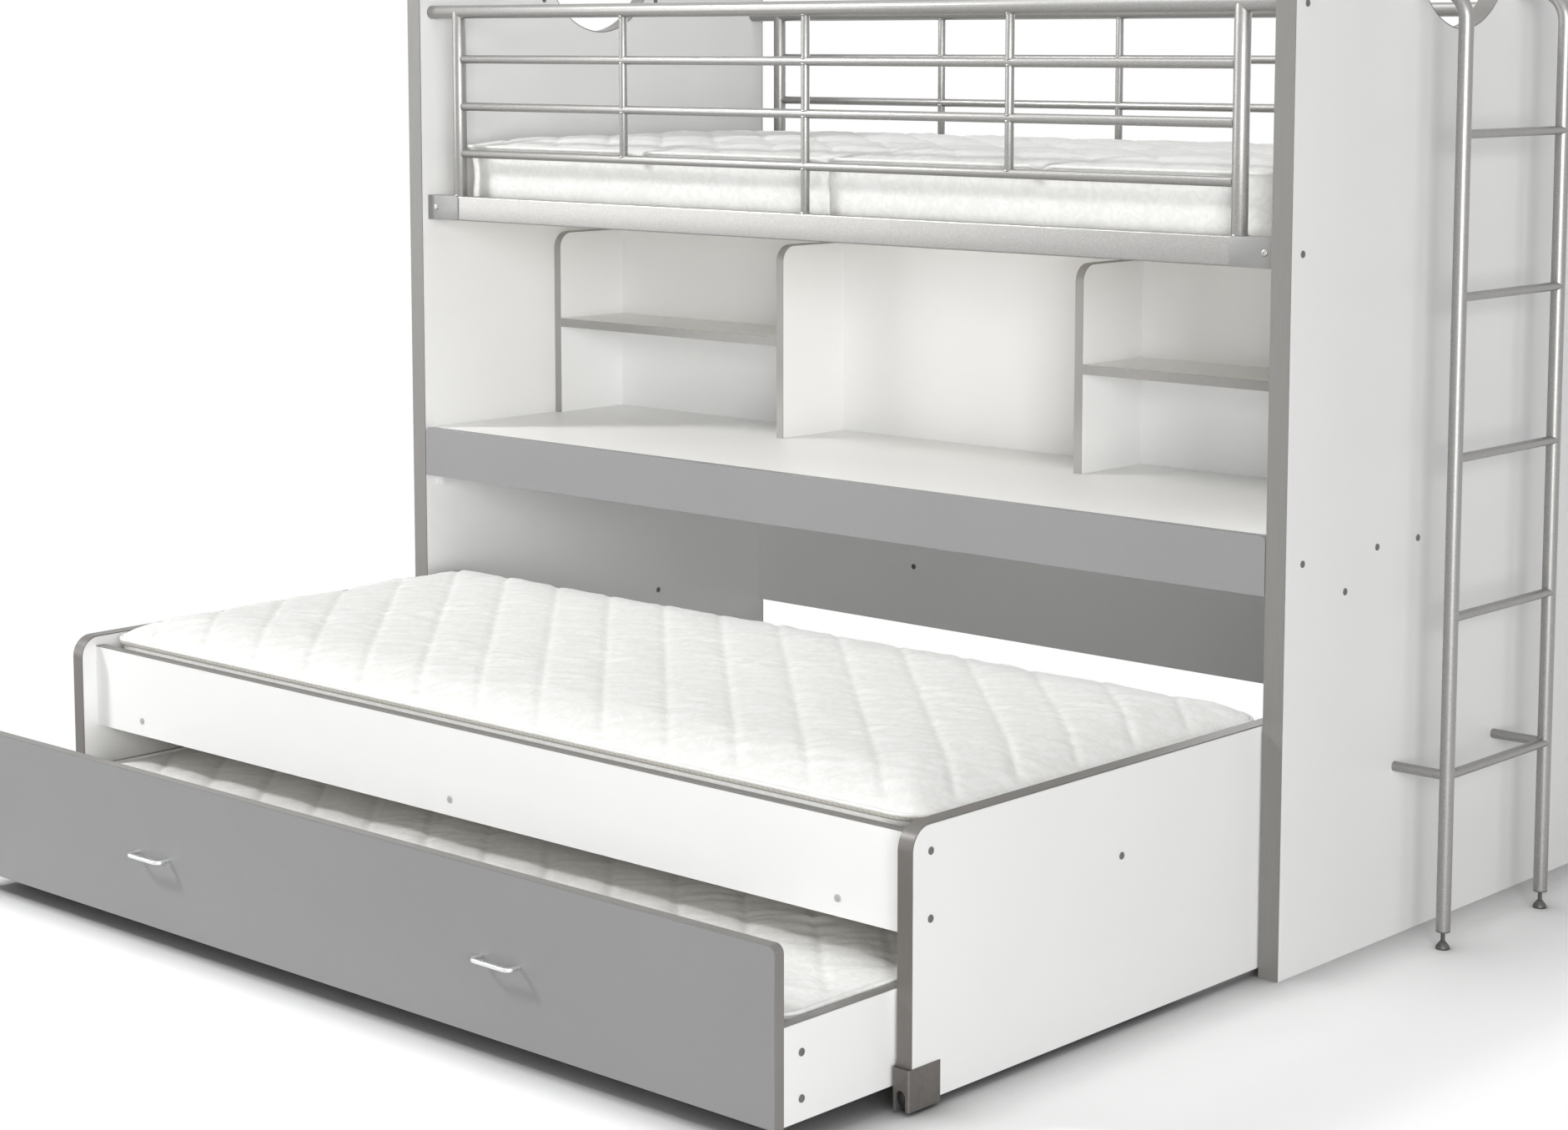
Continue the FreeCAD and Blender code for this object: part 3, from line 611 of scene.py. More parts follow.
boardRoundingMm = {
    "white_melamine": 0.4, "grey_melamine": 0.5, "grey_edging": 0.7, "slat_pine": 3.0,
    "silver_lacquer": 0.6, "bracket_steel": 0.5,
}
boardMake = {"flatWithin": 1, "smoothBelow": 40, "normalWeight": 90}
boardsByBody = {
    "loft_frame": {
        "white_melamine": [
            "left_side_panel", "right_side_panel", "rear_stretcher", "desk_top", "desk_supports",
            "desk_back_panel", "inner_shelf_uprights", "outer_shelf_uprights", "left_shelf",
            "right_shelf",
        ],
        "grey_melamine": ["desk_fascia"],
        "grey_edging": ["left_panel_edging", "right_panel_edging", "shelf_edging"],
        "slat_pine": ["upper_slats"],
        "silver_lacquer": ["upper_slat_ledges"],
    },
    "lower_bed": {
        "white_melamine": ["bed_left_end", "bed_right_end", "bed_front_rail", "bed_rear_rail"],
        "grey_edging": ["bed_end_edging", "bed_rail_edging"],
        "slat_pine": ["bed_slat_bearers", "bed_slats"],
        "bracket_steel": ["bed_wheel_brackets"],
    },
    "trundle_drawer": {
        "white_melamine": ["drawer_left_side", "drawer_right_side", "drawer_back", "drawer_base"],
        "grey_melamine": ["drawer_front"],
        "grey_edging": ["drawer_front_edging", "drawer_side_edging"],
        "bracket_steel": ["drawer_wheel_forks"],
    },
}
ownFinishes = {
    # the bed ends' edging is painted darker than the band, as shade
    # the shelves' edging is painted paler than the band, as light
    "shelf_edging": makeAbsEdging("paintedLightAbsEdging"), "bed_end_edging": makeAbsEdging("paintedShadeAbsEdging"),
}


def board(nodeName, body, slotName):
    piece = copied(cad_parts[nodeName], camel(nodeName))
    openEdit(piece, "VERT")
    bpy.ops.mesh.customdata_custom_splitnormals_clear()
    bpy.ops.mesh.select_all(action="SELECT")
    bpy.ops.mesh.remove_doubles(threshold=working["merge"])
    bpy.ops.mesh.dissolve_limited(angle_limit=math.radians(boardMake["flatWithin"]))
    closeEdit()
    softened(piece, boardRoundingMm[slotName] / 1000)
    smoothed(piece, boardMake["smoothBelow"])
    modify(piece, "WEIGHTED_NORMAL", {"weight": boardMake["normalWeight"], "keep_sharp": True})
    return dressed(piece, body, slotName, [nodeName], ownFinishes.get(nodeName))


for body, slots in boardsByBody.items():
    for slotName, nodeNames in slots.items():
        for nodeName in nodeNames:
            board(nodeName, body, slotName)
print("boards softened")


# Upper bed rails: box tube with rolled corners

upperRail = {
    "corner": 0.003, "cornerSteps": 5, "wall": 0.0015, "hollow": 0.060, "longEdge": 0.1, "smoothBelow": 30,
}


def boxTube(nodeName):
    low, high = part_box(nodeName)
    bpy.ops.mesh.primitive_cube_add(size=1, location=(low + high) / 2)
    bpy.context.object.scale = high - low
    piece = named(camel(nodeName))
    openEdit(piece, "EDGE")
    selectEdges(piece, lambda a, b: abs(a.x - b.x) > upperRail["longEdge"])
    bpy.ops.mesh.bevel(offset=upperRail["corner"], segments=upperRail["cornerSteps"])
    closeEdit()
    for side in (-1, 1):
        openEdit(piece, "FACE")
        selectFaces(piece, lambda centre, normal: normal.x * side > working["facing"])
        bpy.ops.mesh.inset(thickness=upperRail["wall"])
        pulled(-side * upperRail["hollow"], 0, 0)
        closeEdit()
    smoothed(piece, upperRail["smoothBelow"])
    return dressed(piece, "loft_frame", "silver_lacquer", [nodeName])


boxTube("upper_front_rail")
boxTube("upper_rear_rail")
print("upper rails made")


# End plates that tie the upper rails to the side panels, each under a bolt

endPlate = {
    "length": 0.093, "thickness": 0.0015, "corner": 0.006, "cornerSteps": 5, "arris": 0.0004, "near": 0.001,
    "smoothBelow": 35,
}


def railPlates(nodeName, facing):
    low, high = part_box(nodeName)
    face = low.y if facing < 0 else high.y
    plates = []
    middleZ = (low.z + high.z) / 2
    near = endPlate["near"]
    for end, inward in ((low.x, 1), (high.x, -1)):
        inner = end + inward * endPlate["length"]
        middleX = end + inward * endPlate["length"] / 2
        middleY = face + facing * endPlate["thickness"] / 2
        bpy.ops.mesh.primitive_cube_add(size=1, location=(middleX, middleY, middleZ))
        bpy.context.object.scale = (endPlate["length"], endPlate["thickness"], high.z - low.z)
        plate = named("plate")
        openEdit(plate, "EDGE")
        selectEdges(
            plate,
            lambda a, b: abs(a.y - b.y) > near and abs(a.x - inner) < near and abs(b.x - inner) < near,
        )
        bpy.ops.mesh.bevel(offset=endPlate["corner"], segments=endPlate["cornerSteps"])
        closeEdit()
        softened(plate, endPlate["arris"])
        plates.append(plate)
    return plates


plates = joined("railEndPlates", railPlates("upper_front_rail", -1) + railPlates("upper_rear_rail", 1))
smoothed(plates, endPlate["smoothBelow"])
dressed(plates, "loft_frame", "bracket_steel", [], makeMottled("lacqueredSteel"))
print("rail ends plated")


# Guards of the upper bed: welded round tube

guardTube = {
    "railRadius": 0.0135, "barRadius": 0.0085, "postRadius": 0.014, "balusterRadius": 0.008,
    "barPitch": 0.096, "barCount": 3, "postInset": 0.084, "balusterPitch": 0.476,
    "bead": 0.0016, "footBeadUp": 0.001, "sides": 40, "smoothBelow": 40,
    # where a bead lies on the tube it joins, as a share of that tube's radius
    "postUnderRail": 0.75, "postNeck": 0.8, "barAtPost": 0.92, "balusterAtBar": 0.62,
    "balusterUnderRail": 0.88,
}


def guard(name, barsNode, postsNode):
    low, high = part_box(barsNode)
    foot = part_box(postsNode)[0].z
    y = (low.y + high.y) / 2
    middle = (low.x + high.x) / 2
    up = Vector((0, 0, 1))
    along = Vector((1, 0, 0))
    railRadius, postRadius = guardTube["railRadius"], guardTube["postRadius"]
    barRadius, balusterRadius = guardTube["barRadius"], guardTube["balusterRadius"]
    railZ = high.z - railRadius
    barZs = [railZ - guardTube["barPitch"] * (i + 1) for i in range(guardTube["barCount"])]
    postXs = (low.x + guardTube["postInset"], high.x - guardTube["postInset"])
    footBead = foot + guardTube["footBeadUp"]
    pieces = []

    def bar(startX, startZ, endX, endZ, radius):
        start, end = Vector((startX, y, startZ)), Vector((endX, y, endZ))
        pieces.append(tube(start, end, radius, guardTube["sides"]))

    def weld(x, z, axis, radius):
        pieces.append(bead(Vector((x, y, z)), axis, radius, guardTube["bead"]))

    bar(low.x, railZ, high.x, railZ, railRadius)
    for x in postXs:
        bar(x, foot, x, railZ, postRadius)
        weld(x, footBead, up, postRadius)
        weld(x, railZ - railRadius * guardTube["postUnderRail"], up, postRadius * guardTube["postNeck"])
    reach = postRadius * guardTube["barAtPost"]
    for z in barZs:
        bar(postXs[0], z, postXs[1], z, barRadius)
        weld(postXs[0] + reach, z, along, barRadius)
        weld(postXs[1] - reach, z, along, barRadius)
    sink = barRadius * guardTube["balusterAtBar"]
    for offset in (-guardTube["balusterPitch"], 0, guardTube["balusterPitch"]):
        # the middle baluster goes down to the bed rail, the others end on the lowest bar
        x = middle + offset
        bar(x, barZs[-1] if offset else foot, x, railZ, balusterRadius)
        joints = [railZ - railRadius * guardTube["balusterUnderRail"]]
        for z in barZs:
            joints += [z + sink, z - sink]
        if offset:
            joints = joints[:-1]
        else:
            joints.append(footBead)
        for z in joints:
            weld(x, z, up, balusterRadius)
    piece = smoothed(joined(name, pieces), guardTube["smoothBelow"])
    return dressed(piece, "loft_frame", "silver_lacquer", [barsNode, postsNode])


guard("frontGuard", "front_guard_bars", "front_guard_posts")
guard("rearGuard", "rear_guard_bars", "rear_guard_posts")
print("guards welded")


# Ladder: two bent stiles, oval rungs, two stand-offs and levelling feet

ladder = {
    "stileRadius": 0.0125, "bendRadius": 0.056, "bendSteps": 14, "sides": 40,
    "rungWidth": 0.022, "rungHeight": 0.015, "rimShare": 0.048, "rimAround": 32, "bead": 0.0016,
    "standoffRadius": 0.0085, "standoffWall": 0.0015, "standoffArris": (0.0005, 0.0004), "weldIn": 0.001,
    "turnedSides": 32, "smoothBelow": 40, "footSmoothBelow": 35,
    "footProfile": [
        (0.0116, 0.0), (0.0120, 0.0008), (0.0120, 0.0036), (0.0114, 0.0052), (0.0095, 0.0080),
        (0.0070, 0.0110), (0.0055, 0.0128), (0.0040, 0.0130), (0.0040, 0.0150), (0.0034, 0.0156),
        (0.0040, 0.0162), (0.0034, 0.0174), (0.0040, 0.0186), (0.0034, 0.0198), (0.0040, 0.0210),
        (0.0034, 0.0222), (0.0040, 0.0234), (0.0034, 0.0246), (0.0040, 0.0258), (0.0034, 0.0270),
        (0.0040, 0.0282), (0.0040, 0.0300), (0.0119, 0.0300), (0.0125, 0.0306), (0.0125, 0.0320),
    ],
}


def ladderStile(y):
    low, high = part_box("ladder_stiles")
    x = high.x - ladder["stileRadius"]
    bend = ladder["bendRadius"]
    bendStart = high.z - ladder["stileRadius"] - bend
    bpy.ops.mesh.primitive_circle_add(
        vertices=ladder["sides"], radius=ladder["stileRadius"], fill_type="NOTHING", location=(x, y, low.z)
    )
    piece = named("stile")
    openEdit(piece, "VERT")
    bpy.ops.mesh.select_all(action="SELECT")
    pulled(0, 0, bendStart - low.z)
    bpy.ops.mesh.spin(
        steps=ladder["bendSteps"], angle=math.radians(90), center=(x - bend, y, bendStart), axis=(0, 1, 0)
    )
    pulled(low.x - (x - bend), 0, 0)
    bpy.ops.mesh.select_all(action="DESELECT")
    bpy.ops.mesh.select_non_manifold()
    bpy.ops.mesh.edge_face_add()
    closeEdit()
    return cleaned(piece)


def ladderRung(low, high):
    middle = (low + high) / 2
    bpy.ops.mesh.primitive_cylinder_add(
        vertices=ladder["sides"], radius=0.5, depth=high.y - low.y, location=middle,
        rotation=(math.radians(90), 0, 0),
    )
    bpy.context.object.scale = (ladder["rungWidth"], ladder["rungHeight"], 1)
    piece = named("rung")
    rims = []
    for y in (low.y, high.y):
        bpy.ops.mesh.primitive_torus_add(
            major_radius=0.5, minor_radius=ladder["rimShare"], major_segments=ladder["rimAround"],
            minor_segments=working["beadAcross"], location=(middle.x, y, middle.z),
            rotation=(math.radians(90), 0, 0),
        )
        bpy.context.object.scale = (ladder["rungWidth"], ladder["rungHeight"], ladder["rungHeight"])
        rims.append(named("rim"))
    return joined("rung", [piece] + rims)


def ladderStandoff(low, high):
    middle = (low + high) / 2
    along = Vector((1, 0, 0))
    start = Vector((low.x, middle.y, middle.z))
    length = high.x - low.x
    outer, inner = ladder["standoffRadius"], ladder["standoffRadius"] - ladder["standoffWall"]
    arrisLength, arrisDepth = ladder["standoffArris"]
    profile = [
        (inner, length), (outer, length), (outer, arrisLength), (outer - arrisDepth, 0), (inner, 0),
        (inner, length),
    ]
    piece = turned("standoff", start, along, profile, ladder["turnedSides"], True)
    weld = bead(Vector((high.x - ladder["weldIn"], middle.y, middle.z)), along, outer, ladder["bead"])
    return joined("standoff", [piece, weld])


def makeLadder():
    stileLow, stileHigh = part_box("ladder_stiles")
    ys = (stileLow.y + ladder["stileRadius"], stileHigh.y - ladder["stileRadius"])
    pieces = [ladderStile(y) for y in ys]
    pieces += [ladderRung(low, high) for low, high in looseBoxes("ladder_rungs")]
    pieces += [ladderStandoff(low, high) for low, high in looseBoxes("ladder_standoffs")]
    piece = smoothed(joined("ladder", pieces), ladder["smoothBelow"])
    dressed(piece, "loft_frame", "silver_lacquer", ["ladder_stiles", "ladder_rungs", "ladder_standoffs"])
    feet = []
    for low, high in looseBoxes("ladder_feet"):
        base = Vector(((low.x + high.x) / 2, (low.y + high.y) / 2, low.z))
        feet.append(turned("foot", base, Vector((0, 0, 1)), ladder["footProfile"], ladder["turnedSides"]))
    piece = smoothed(joined("ladderFeet", feet), ladder["footSmoothBelow"])
    dressed(piece, "loft_frame", "foot_steel", ["ladder_feet"])


makeLadder()
print("ladder made")


# Running gear: turned wheels on plated axles

# a wheel's profile goes from the bore to the middle of the tread, and back the same way on its other side
bedWheel = {
    "sides": 48, "axleCrown": 0.0012, "width": 0.020, "smoothBelow": 30,
    "halfProfile": [
        (0.00405, 0.0045), (0.0062, 0.0045), (0.0068, 0.0040), (0.0068, 0.0030), (0.0140, 0.0030),
        (0.0150, 0.0024), (0.0154, 0.0008), (0.0160, 0.0), (0.0200, 0.0), (0.0212, 0.0006),
        (0.0219, 0.0020), (0.0220, 0.0036), (0.0220, 0.0090), (0.0216, 0.0094),
    ],
}
drawerWheel = {
    "sides": 40, "axleCrown": 0.0006, "width": 0.016, "smoothBelow": 30,
    "halfProfile": [
        (0.00305, 0.0), (0.0060, 0.0), (0.0066, 0.0006), (0.0066, 0.0020), (0.0118, 0.0020),
        (0.0124, 0.0014), (0.0128, 0.0), (0.0164, 0.0), (0.0174, 0.0005), (0.0180, 0.0016),
    ],
}
axleEnd = {"flat": 0.55, "shoulder": 0.86, "shoulderAt": 0.4, "sides": 32, "smoothBelow": 35}


def wheels(kind, spec):
    half = spec["halfProfile"]
    profile = half + [(radius, spec["width"] - height) for radius, height in reversed(half)] + half[:1]
    pattern = turned("pattern", Vector((0, 0, 0)), Vector((1, 0, 0)), profile, spec["sides"], True)
    smoothed(pattern, spec["smoothBelow"])
    for end in ("front", "rear"):
        for side in ("left", "right"):
            nodeName = kind + "_" + end + "_" + side
            low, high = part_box(nodeName)
            place = Vector((low.x, (low.y + high.y) / 2, (low.z + high.z) / 2))
            wheel = copied(pattern, camel(nodeName), place)
            dressed(wheel, end + "_" + side + "_" + kind, "wheel_plastic", [nodeName])
    bpy.data.objects.remove(pattern)


def axles(nodeName, body, crown):
    rods = []
    for low, high in looseBoxes(nodeName):
        length = high.x - low.x
        radius = (high.z - low.z) / 2
        base = Vector((low.x, (low.y + high.y) / 2, (low.z + high.z) / 2))
        flat, shoulder = radius * axleEnd["flat"], radius * axleEnd["shoulder"]
        turn = crown * axleEnd["shoulderAt"]
        profile = [
            (flat, 0), (shoulder, turn), (radius, crown), (radius, length - crown),
            (shoulder, length - turn), (flat, length),
        ]
        rods.append(turned("rod", base, Vector((1, 0, 0)), profile, axleEnd["sides"]))
    piece = smoothed(joined(camel(nodeName), rods), axleEnd["smoothBelow"])
    return dressed(piece, body, "axle_steel", [nodeName])


wheels("bed_wheel", bedWheel)
wheels("drawer_wheel", drawerWheel)
axles("bed_wheel_axles", "lower_bed", bedWheel["axleCrown"])
axles("drawer_wheel_axles", "trundle_drawer", drawerWheel["axleCrown"])
print("running gear made")


# Bow handles of the drawer

bowHandle = {
    "thickness": 0.008, "depth": 0.006, "bend": 0.010, "steps": 8, "arris": 0.0012, "arrisSteps": 4,
    "smoothBelow": 35,
}


def bow(low, high):
    half = bowHandle["thickness"] / 2
    bend = bowHandle["bend"]
    z = (low.z + high.z) / 2
    left, right = low.x + half, high.x - half
    reach = low.y + half + bend
    bpy.ops.mesh.primitive_plane_add(
        size=1, location=(left, high.y, z), rotation=(math.radians(90), 0, 0)
    )
    bpy.context.object.scale = (bowHandle["thickness"], bowHandle["depth"], 1)
    piece = named("bow")
    openEdit(piece, "VERT")
    bpy.ops.mesh.select_all(action="SELECT")
    bpy.ops.mesh.bevel(
        offset=bowHandle["arris"], segments=bowHandle["arrisSteps"], affect="VERTICES"
    )
    bpy.ops.mesh.select_all(action="SELECT")
    pulled(0, reach - high.y, 0)
    bpy.ops.mesh.spin(
        steps=bowHandle["steps"], angle=math.radians(90), center=(left + bend, reach, z), axis=(0, 0, -1)
    )
    pulled(right - left - 2 * bend, 0, 0)
    bpy.ops.mesh.spin(
        steps=bowHandle["steps"], angle=math.radians(90), center=(right - bend, reach, z), axis=(0, 0, -1)
    )
    pulled(0, high.y - reach, 0)
    closeEdit()
    return cleaned(piece)


handles = joined("drawerHandles", [bow(low, high) for low, high in looseBoxes("drawer_handles")])
smoothed(handles, bowHandle["smoothBelow"])
dressed(handles, "trundle_drawer", "handle_aluminium", ["drawer_handles"])
print("handles bent")


# Screw caps: low domes pushed on the screw heads, and socket bolts at the rail ends

capReach = 0.004
screwCap = {
    "sides": 20, "smoothBelow": 50,
    "profile": [(1.0, 0.0), (1.0, 0.45), (0.94, 0.7), (0.78, 0.88), (0.5, 0.98), (0.2, 1.0)],
}
railBolt = {
    "sides": 24, "smoothBelow": 50,
    "profile": [
        (1.0, 0.0), (1.0, 0.7), (0.95, 1.2), (0.8, 1.6), (0.6, 1.75), (0.46, 1.75), (0.42, 1.2), (0.2, 1.15),
    ],
}


def capsOn(name, nodeName, body, carriers, spec, slotName, finish=None):
    caps = []
    for low, high in looseBoxes(nodeName):
        size = high - low
        axis = min(range(3), key=lambda i: size[i])
        centre = (low + high) / 2
        for carrier in carriers:
            boardLow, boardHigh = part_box(carrier)
            near = [boardLow[i] - capReach < centre[i] < boardHigh[i] + capReach for i in range(3)]
            if all(near):
                outward = Vector((0, 0, 0))
                outward[axis] = 1 if centre[axis] > (boardLow[axis] + boardHigh[axis]) / 2 else -1
                radius = max(size) / 2
                profile = [(radius * r, size[axis] * h) for r, h in spec["profile"]]
                base = centre - outward * size[axis] / 2
                caps.append(turned("cap", base, outward, profile, spec["sides"]))
    piece = smoothed(joined(name, caps), spec["smoothBelow"])
    return dressed(piece, body, slotName, [nodeName], finish)


capsOn(
    "frameScrewCaps", "frame_screw_caps", "loft_frame",
    ["left_side_panel", "right_side_panel", "rear_stretcher"], screwCap, "cap_plastic",
)
capsOn(
    "railBolts", "frame_screw_caps", "loft_frame",
    ["upper_front_rail", "upper_rear_rail"], railBolt, "axle_steel",
)
capsOn(
    "bedScrewCaps", "bed_screw_caps", "lower_bed",
    ["bed_left_end", "bed_right_end"], screwCap, "cap_plastic",
)
capsOn(
    "bedRailCaps", "bed_screw_caps", "lower_bed", ["bed_front_rail"], screwCap, "cap_plastic",
    makeMottled("palePolypropylene"),
)
capsOn(
    "drawerScrewCaps", "drawer_screw_caps", "trundle_drawer",
    ["drawer_left_side", "drawer_right_side"], screwCap, "cap_plastic",
)
print("screw caps pushed on")


# Mattresses: quilted ticking over foam, blown up between its stitch lines

pad = {
    # quilting
    "quiltPitch": 0.150, "quiltShift": 0.038, "stepsAcross": 12, "stitchDepth": 0.002, "stitchMargin": 0.025,
    # the blank, which starts a little small
    "corner": 0.055, "rows": 6, "tuck": 0.009, "tuckShare": 0.15, "drawnIn": 0.007, "startIn": 0.004,
    "startDown": 0.006, "shoulder": 0.140, "rimShare": 0.001,
    # the filling
    "pressure": 4.0, "frames": 20, "topSwell": 0.006, "sideSwell": 0.004, "smoothBelow": 80,
    # piping, and a grey tape under the top piping whose grey paints the shadow line beneath it
    "cord": 0.0034, "cordSteps": 3, "cordSmoothBelow": 60, "shadowLineDown": 0.0056,
    # puckers along the stitches, calm towards the rim
    "gather": 0.0030, "gatherLength": 0.024, "gatherWidth": 0.070, "gatherSeed": 10, "gatherFade": 0.6,
    "crease": 0.0036, "creaseWidth": 0.0075, "calmPart": 3, "topFacing": 0.5, "frontFacing": 0.7,
    # uneven filling, and the crinkles of a slack cover over it
    "lump": 0.0022, "lumpSize": 0.13, "lumpSeed": 7, "slack": 0.4, "slackByLump": 1.2,
    "crinkle": 0.0042, "crinkleSize": 0.019, "crinkleDrawn": 2, "crinkleSeed": 5,
    # tacks and border seams
    "pinch": 0.007, "pinchReach": 0.024, "pinchDepth": 0.03, "seam": 0.008, "seamReach": 0.011,
    "seamWrinkle": 0.5, "undersideFacing": 0.999,
}
mattresses = {
    "upper_mattress": {
        "body": "loft_frame", "edge": 0.121, "pinches": (-0.524, -0.036, 0.464), "seams": (-0.036,),
        "taped": False,
    },
    "lower_mattress": {"body": "lower_bed", "edge": 0.110, "pinches": (), "seams": (), "taped": True},
    "drawer_mattress": {"body": "trundle_drawer", "edge": 0.126, "pinches": (), "seams": (), "taped": False},
}


def roundedPlan(x, y, halfX, halfY, radius):
    # moves a point of the corner square into its quarter round
    u = (abs(x) - (halfX - radius)) / radius
    v = (abs(y) - (halfY - radius)) / radius
    if u <= 0 or v <= 0:
        return x, y
    newX = halfX - radius + radius * u * math.sqrt(1 - v * v / 2)
    newY = halfY - radius + radius * v * math.sqrt(1 - u * u / 2)
    return math.copysign(newX, x), math.copysign(newY, y)


def mattressBlank(nodeName, edge):
    low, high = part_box(nodeName)
    middle = (low + high) / 2
    size = high - low
    step = pad["quiltPitch"] / pad["stepsAcross"]
    columns = 2 * round(size.x / step / 2)
    rows = 2 * round(size.y / step / 2)
    bpy.ops.mesh.primitive_grid_add(
        x_subdivisions=columns, y_subdivisions=rows, size=1, location=(middle.x, middle.y, low.z + edge)
    )
    bpy.context.object.scale = (size.x, size.y, 1)
    piece = named(camel(nodeName))
    openEdit(piece, "FACE")
    bpy.ops.mesh.select_all(action="SELECT")
    pulled(0, 0, -edge)
    closeEdit()
    openEdit(piece, "EDGE")
    selectEdges(piece, lambda a, b: abs(a.z - b.z) > edge / 2)
    bpy.ops.mesh.subdivide(number_cuts=pad["rows"] - 1)
    closeEdit()
    cleaned(piece)

    held, topRim, bottomRim = [], [], []
    crown = size.z - edge - pad["startDown"]
    across = pad["stepsAcross"]
    shift = round(pad["quiltShift"] / step)
    for vert in piece.data.vertices:
        x, y = vert.co.x - middle.x, vert.co.y - middle.y
        share = (vert.co.z - low.z) / edge
        column = round(x / size.x * columns)
        row = round(y / size.y * rows)
        fromEdge = min(size.x / 2 - abs(x), size.y / 2 - abs(y))
        onRim = fromEdge < step / 2
        # tucked under at the bottom and drawn in at half height
        inset = pad["startIn"] + pad["drawnIn"] * math.sin(math.pi * share)
        inset += pad["tuck"] * max(0, 1 - share / pad["tuckShare"])
        planX, planY = roundedPlan(x, y, size.x / 2, size.y / 2, pad["corner"])
        planX *= 1 - inset / (size.x / 2)
        planY *= 1 - inset / (size.y / 2)
        lift = 0
        if share > 1 - pad["rimShare"]:
            rise = min(fromEdge / pad["shoulder"], 1)
            lift = crown * (1 - (1 - rise) ** 2)
            stitched = (column + row - shift) % across == 0
            if onRim:
                topRim.append(vert.index)
                held.append(vert.index)
            elif stitched and fromEdge > pad["stitchMargin"]:
                lift -= pad["stitchDepth"]
                held.append(vert.index)
        elif share < pad["rimShare"]:
            held.append(vert.index)
            if onRim:
                bottomRim.append(vert.index)
        vert.co = (middle.x + planX, middle.y + planY, vert.co.z + lift)
    for groupName, members in (("held", held), ("topRim", topRim), ("bottomRim", bottomRim)):
        piece.vertex_groups.new(name=groupName).add(members, 1.0, "REPLACE")
    return piece


def blowUp(piece, bottom, edge):
    # cloth under pressure, held along the stitches, with its movement capped
    before = [vert.co.copy() for vert in piece.data.vertices]
    only(piece)
    cloth = piece.modifiers.new("cloth", "CLOTH")
    cloth.settings.vertex_group_mass = "held"
    cloth.settings.use_pressure = True
    cloth.settings.uniform_pressure_force = pad["pressure"]
    cloth.settings.effector_weights.gravity = 0
    cloth.point_cache.frame_start = 1
    cloth.point_cache.frame_end = pad["frames"]
    for number in range(1, pad["frames"] + 1):
        bpy.context.scene.frame_set(number)
    bpy.ops.object.modifier_apply(modifier="cloth")
    bpy.context.scene.frame_set(1)
    most = 0
    for vert, start in zip(piece.data.vertices, before):
        move = vert.co - start
        most = max(most, move.length)
        onTop = start.z > bottom + edge * (1 - pad["rimShare"])
        cap = pad["topSwell"] if onTop else pad["sideSwell"]
        if move.length > cap:
            vert.co = start + move * (cap / move.length)
    print(piece.name, "swelled by", round(most * 1000, 1), "mm")


def pinched(piece, nodeName, places):
    # tacks that pull the front rim in
    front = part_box(nodeName)[0].y
    rim = piece.vertex_groups["topRim"].index
    for vert in piece.data.vertices:
        onRim = any(member.group == rim for member in vert.groups)
        if onRim and vert.co.y < front + pad["pinchDepth"]:
            for place in places:
                pull = max(0, 1 - abs(vert.co.x - place) / pad["pinchReach"])
                vert.co += Vector((0, pad["pinch"] * pull, -pad["pinch"] * pull))


def gathered(piece, nodeName, seams):
    # the cover puckers across each stitch line, and the filling lies a little uneven; a border seam sinks in
    low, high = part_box(nodeName)
    middle = (low + high) / 2
    size = high - low
    half = math.sqrt(0.5)
    shrunk = 2 * pad["startIn"]
    gap = pad["quiltPitch"] * half
    rim = pad["shoulder"] / pad["calmPart"]
    tops = [vert for vert in piece.data.vertices if vert.normal.z > pad["topFacing"]]
    fronts = [vert for vert in piece.data.vertices if vert.normal.y < -pad["frontFacing"]]

    def ripple(u, v, seed):
        return noise.noise(Vector((u, v, low.z * seed)))

    for vert in fronts:
        for place in seams:
            off = abs(vert.co.x - place) / pad["seamReach"]
            fold = noise.noise(Vector((place, vert.co.z / pad["gatherLength"], 0)))
            wrinkle = 1 + pad["seamWrinkle"] * fold
            vert.co.y += pad["seam"] * wrinkle * max(0, 1 - off)
    for vert in tops:
        x = (vert.co.x - middle.x) / (1 - shrunk / size.x)
        y = (vert.co.y - middle.y) / (1 - shrunk / size.y)
        fromEdge = min(high.x - vert.co.x, vert.co.x - low.x, high.y - vert.co.y, vert.co.y - low.y)
        along = (y - x) * half
        over = (x + y - pad["quiltShift"]) * half
        offLine = abs(over / gap - round(over / gap)) * 2
        sunk = pad["crease"] * max(0, 1 - offLine * gap / 2 / pad["creaseWidth"])
        pucker = ripple(along / pad["gatherLength"], over / pad["gatherWidth"], pad["gatherSeed"])
        lump = ripple(x / pad["lumpSize"], y / pad["lumpSize"], pad["lumpSeed"])
        slack = max(0, pad["slack"] + pad["slackByLump"] * lump)
        crinkle = ripple(
            along / pad["crinkleSize"], over / pad["crinkleSize"] / pad["crinkleDrawn"], pad["crinkleSeed"]
        )
        rise = pad["gather"] * pucker * (1 - pad["gatherFade"] * offLine)
        rise += pad["lump"] * lump - sunk
        rise += pad["crinkle"] * slack * crinkle
        vert.co.z += rise * min(1, max(0, fromEdge / rim))


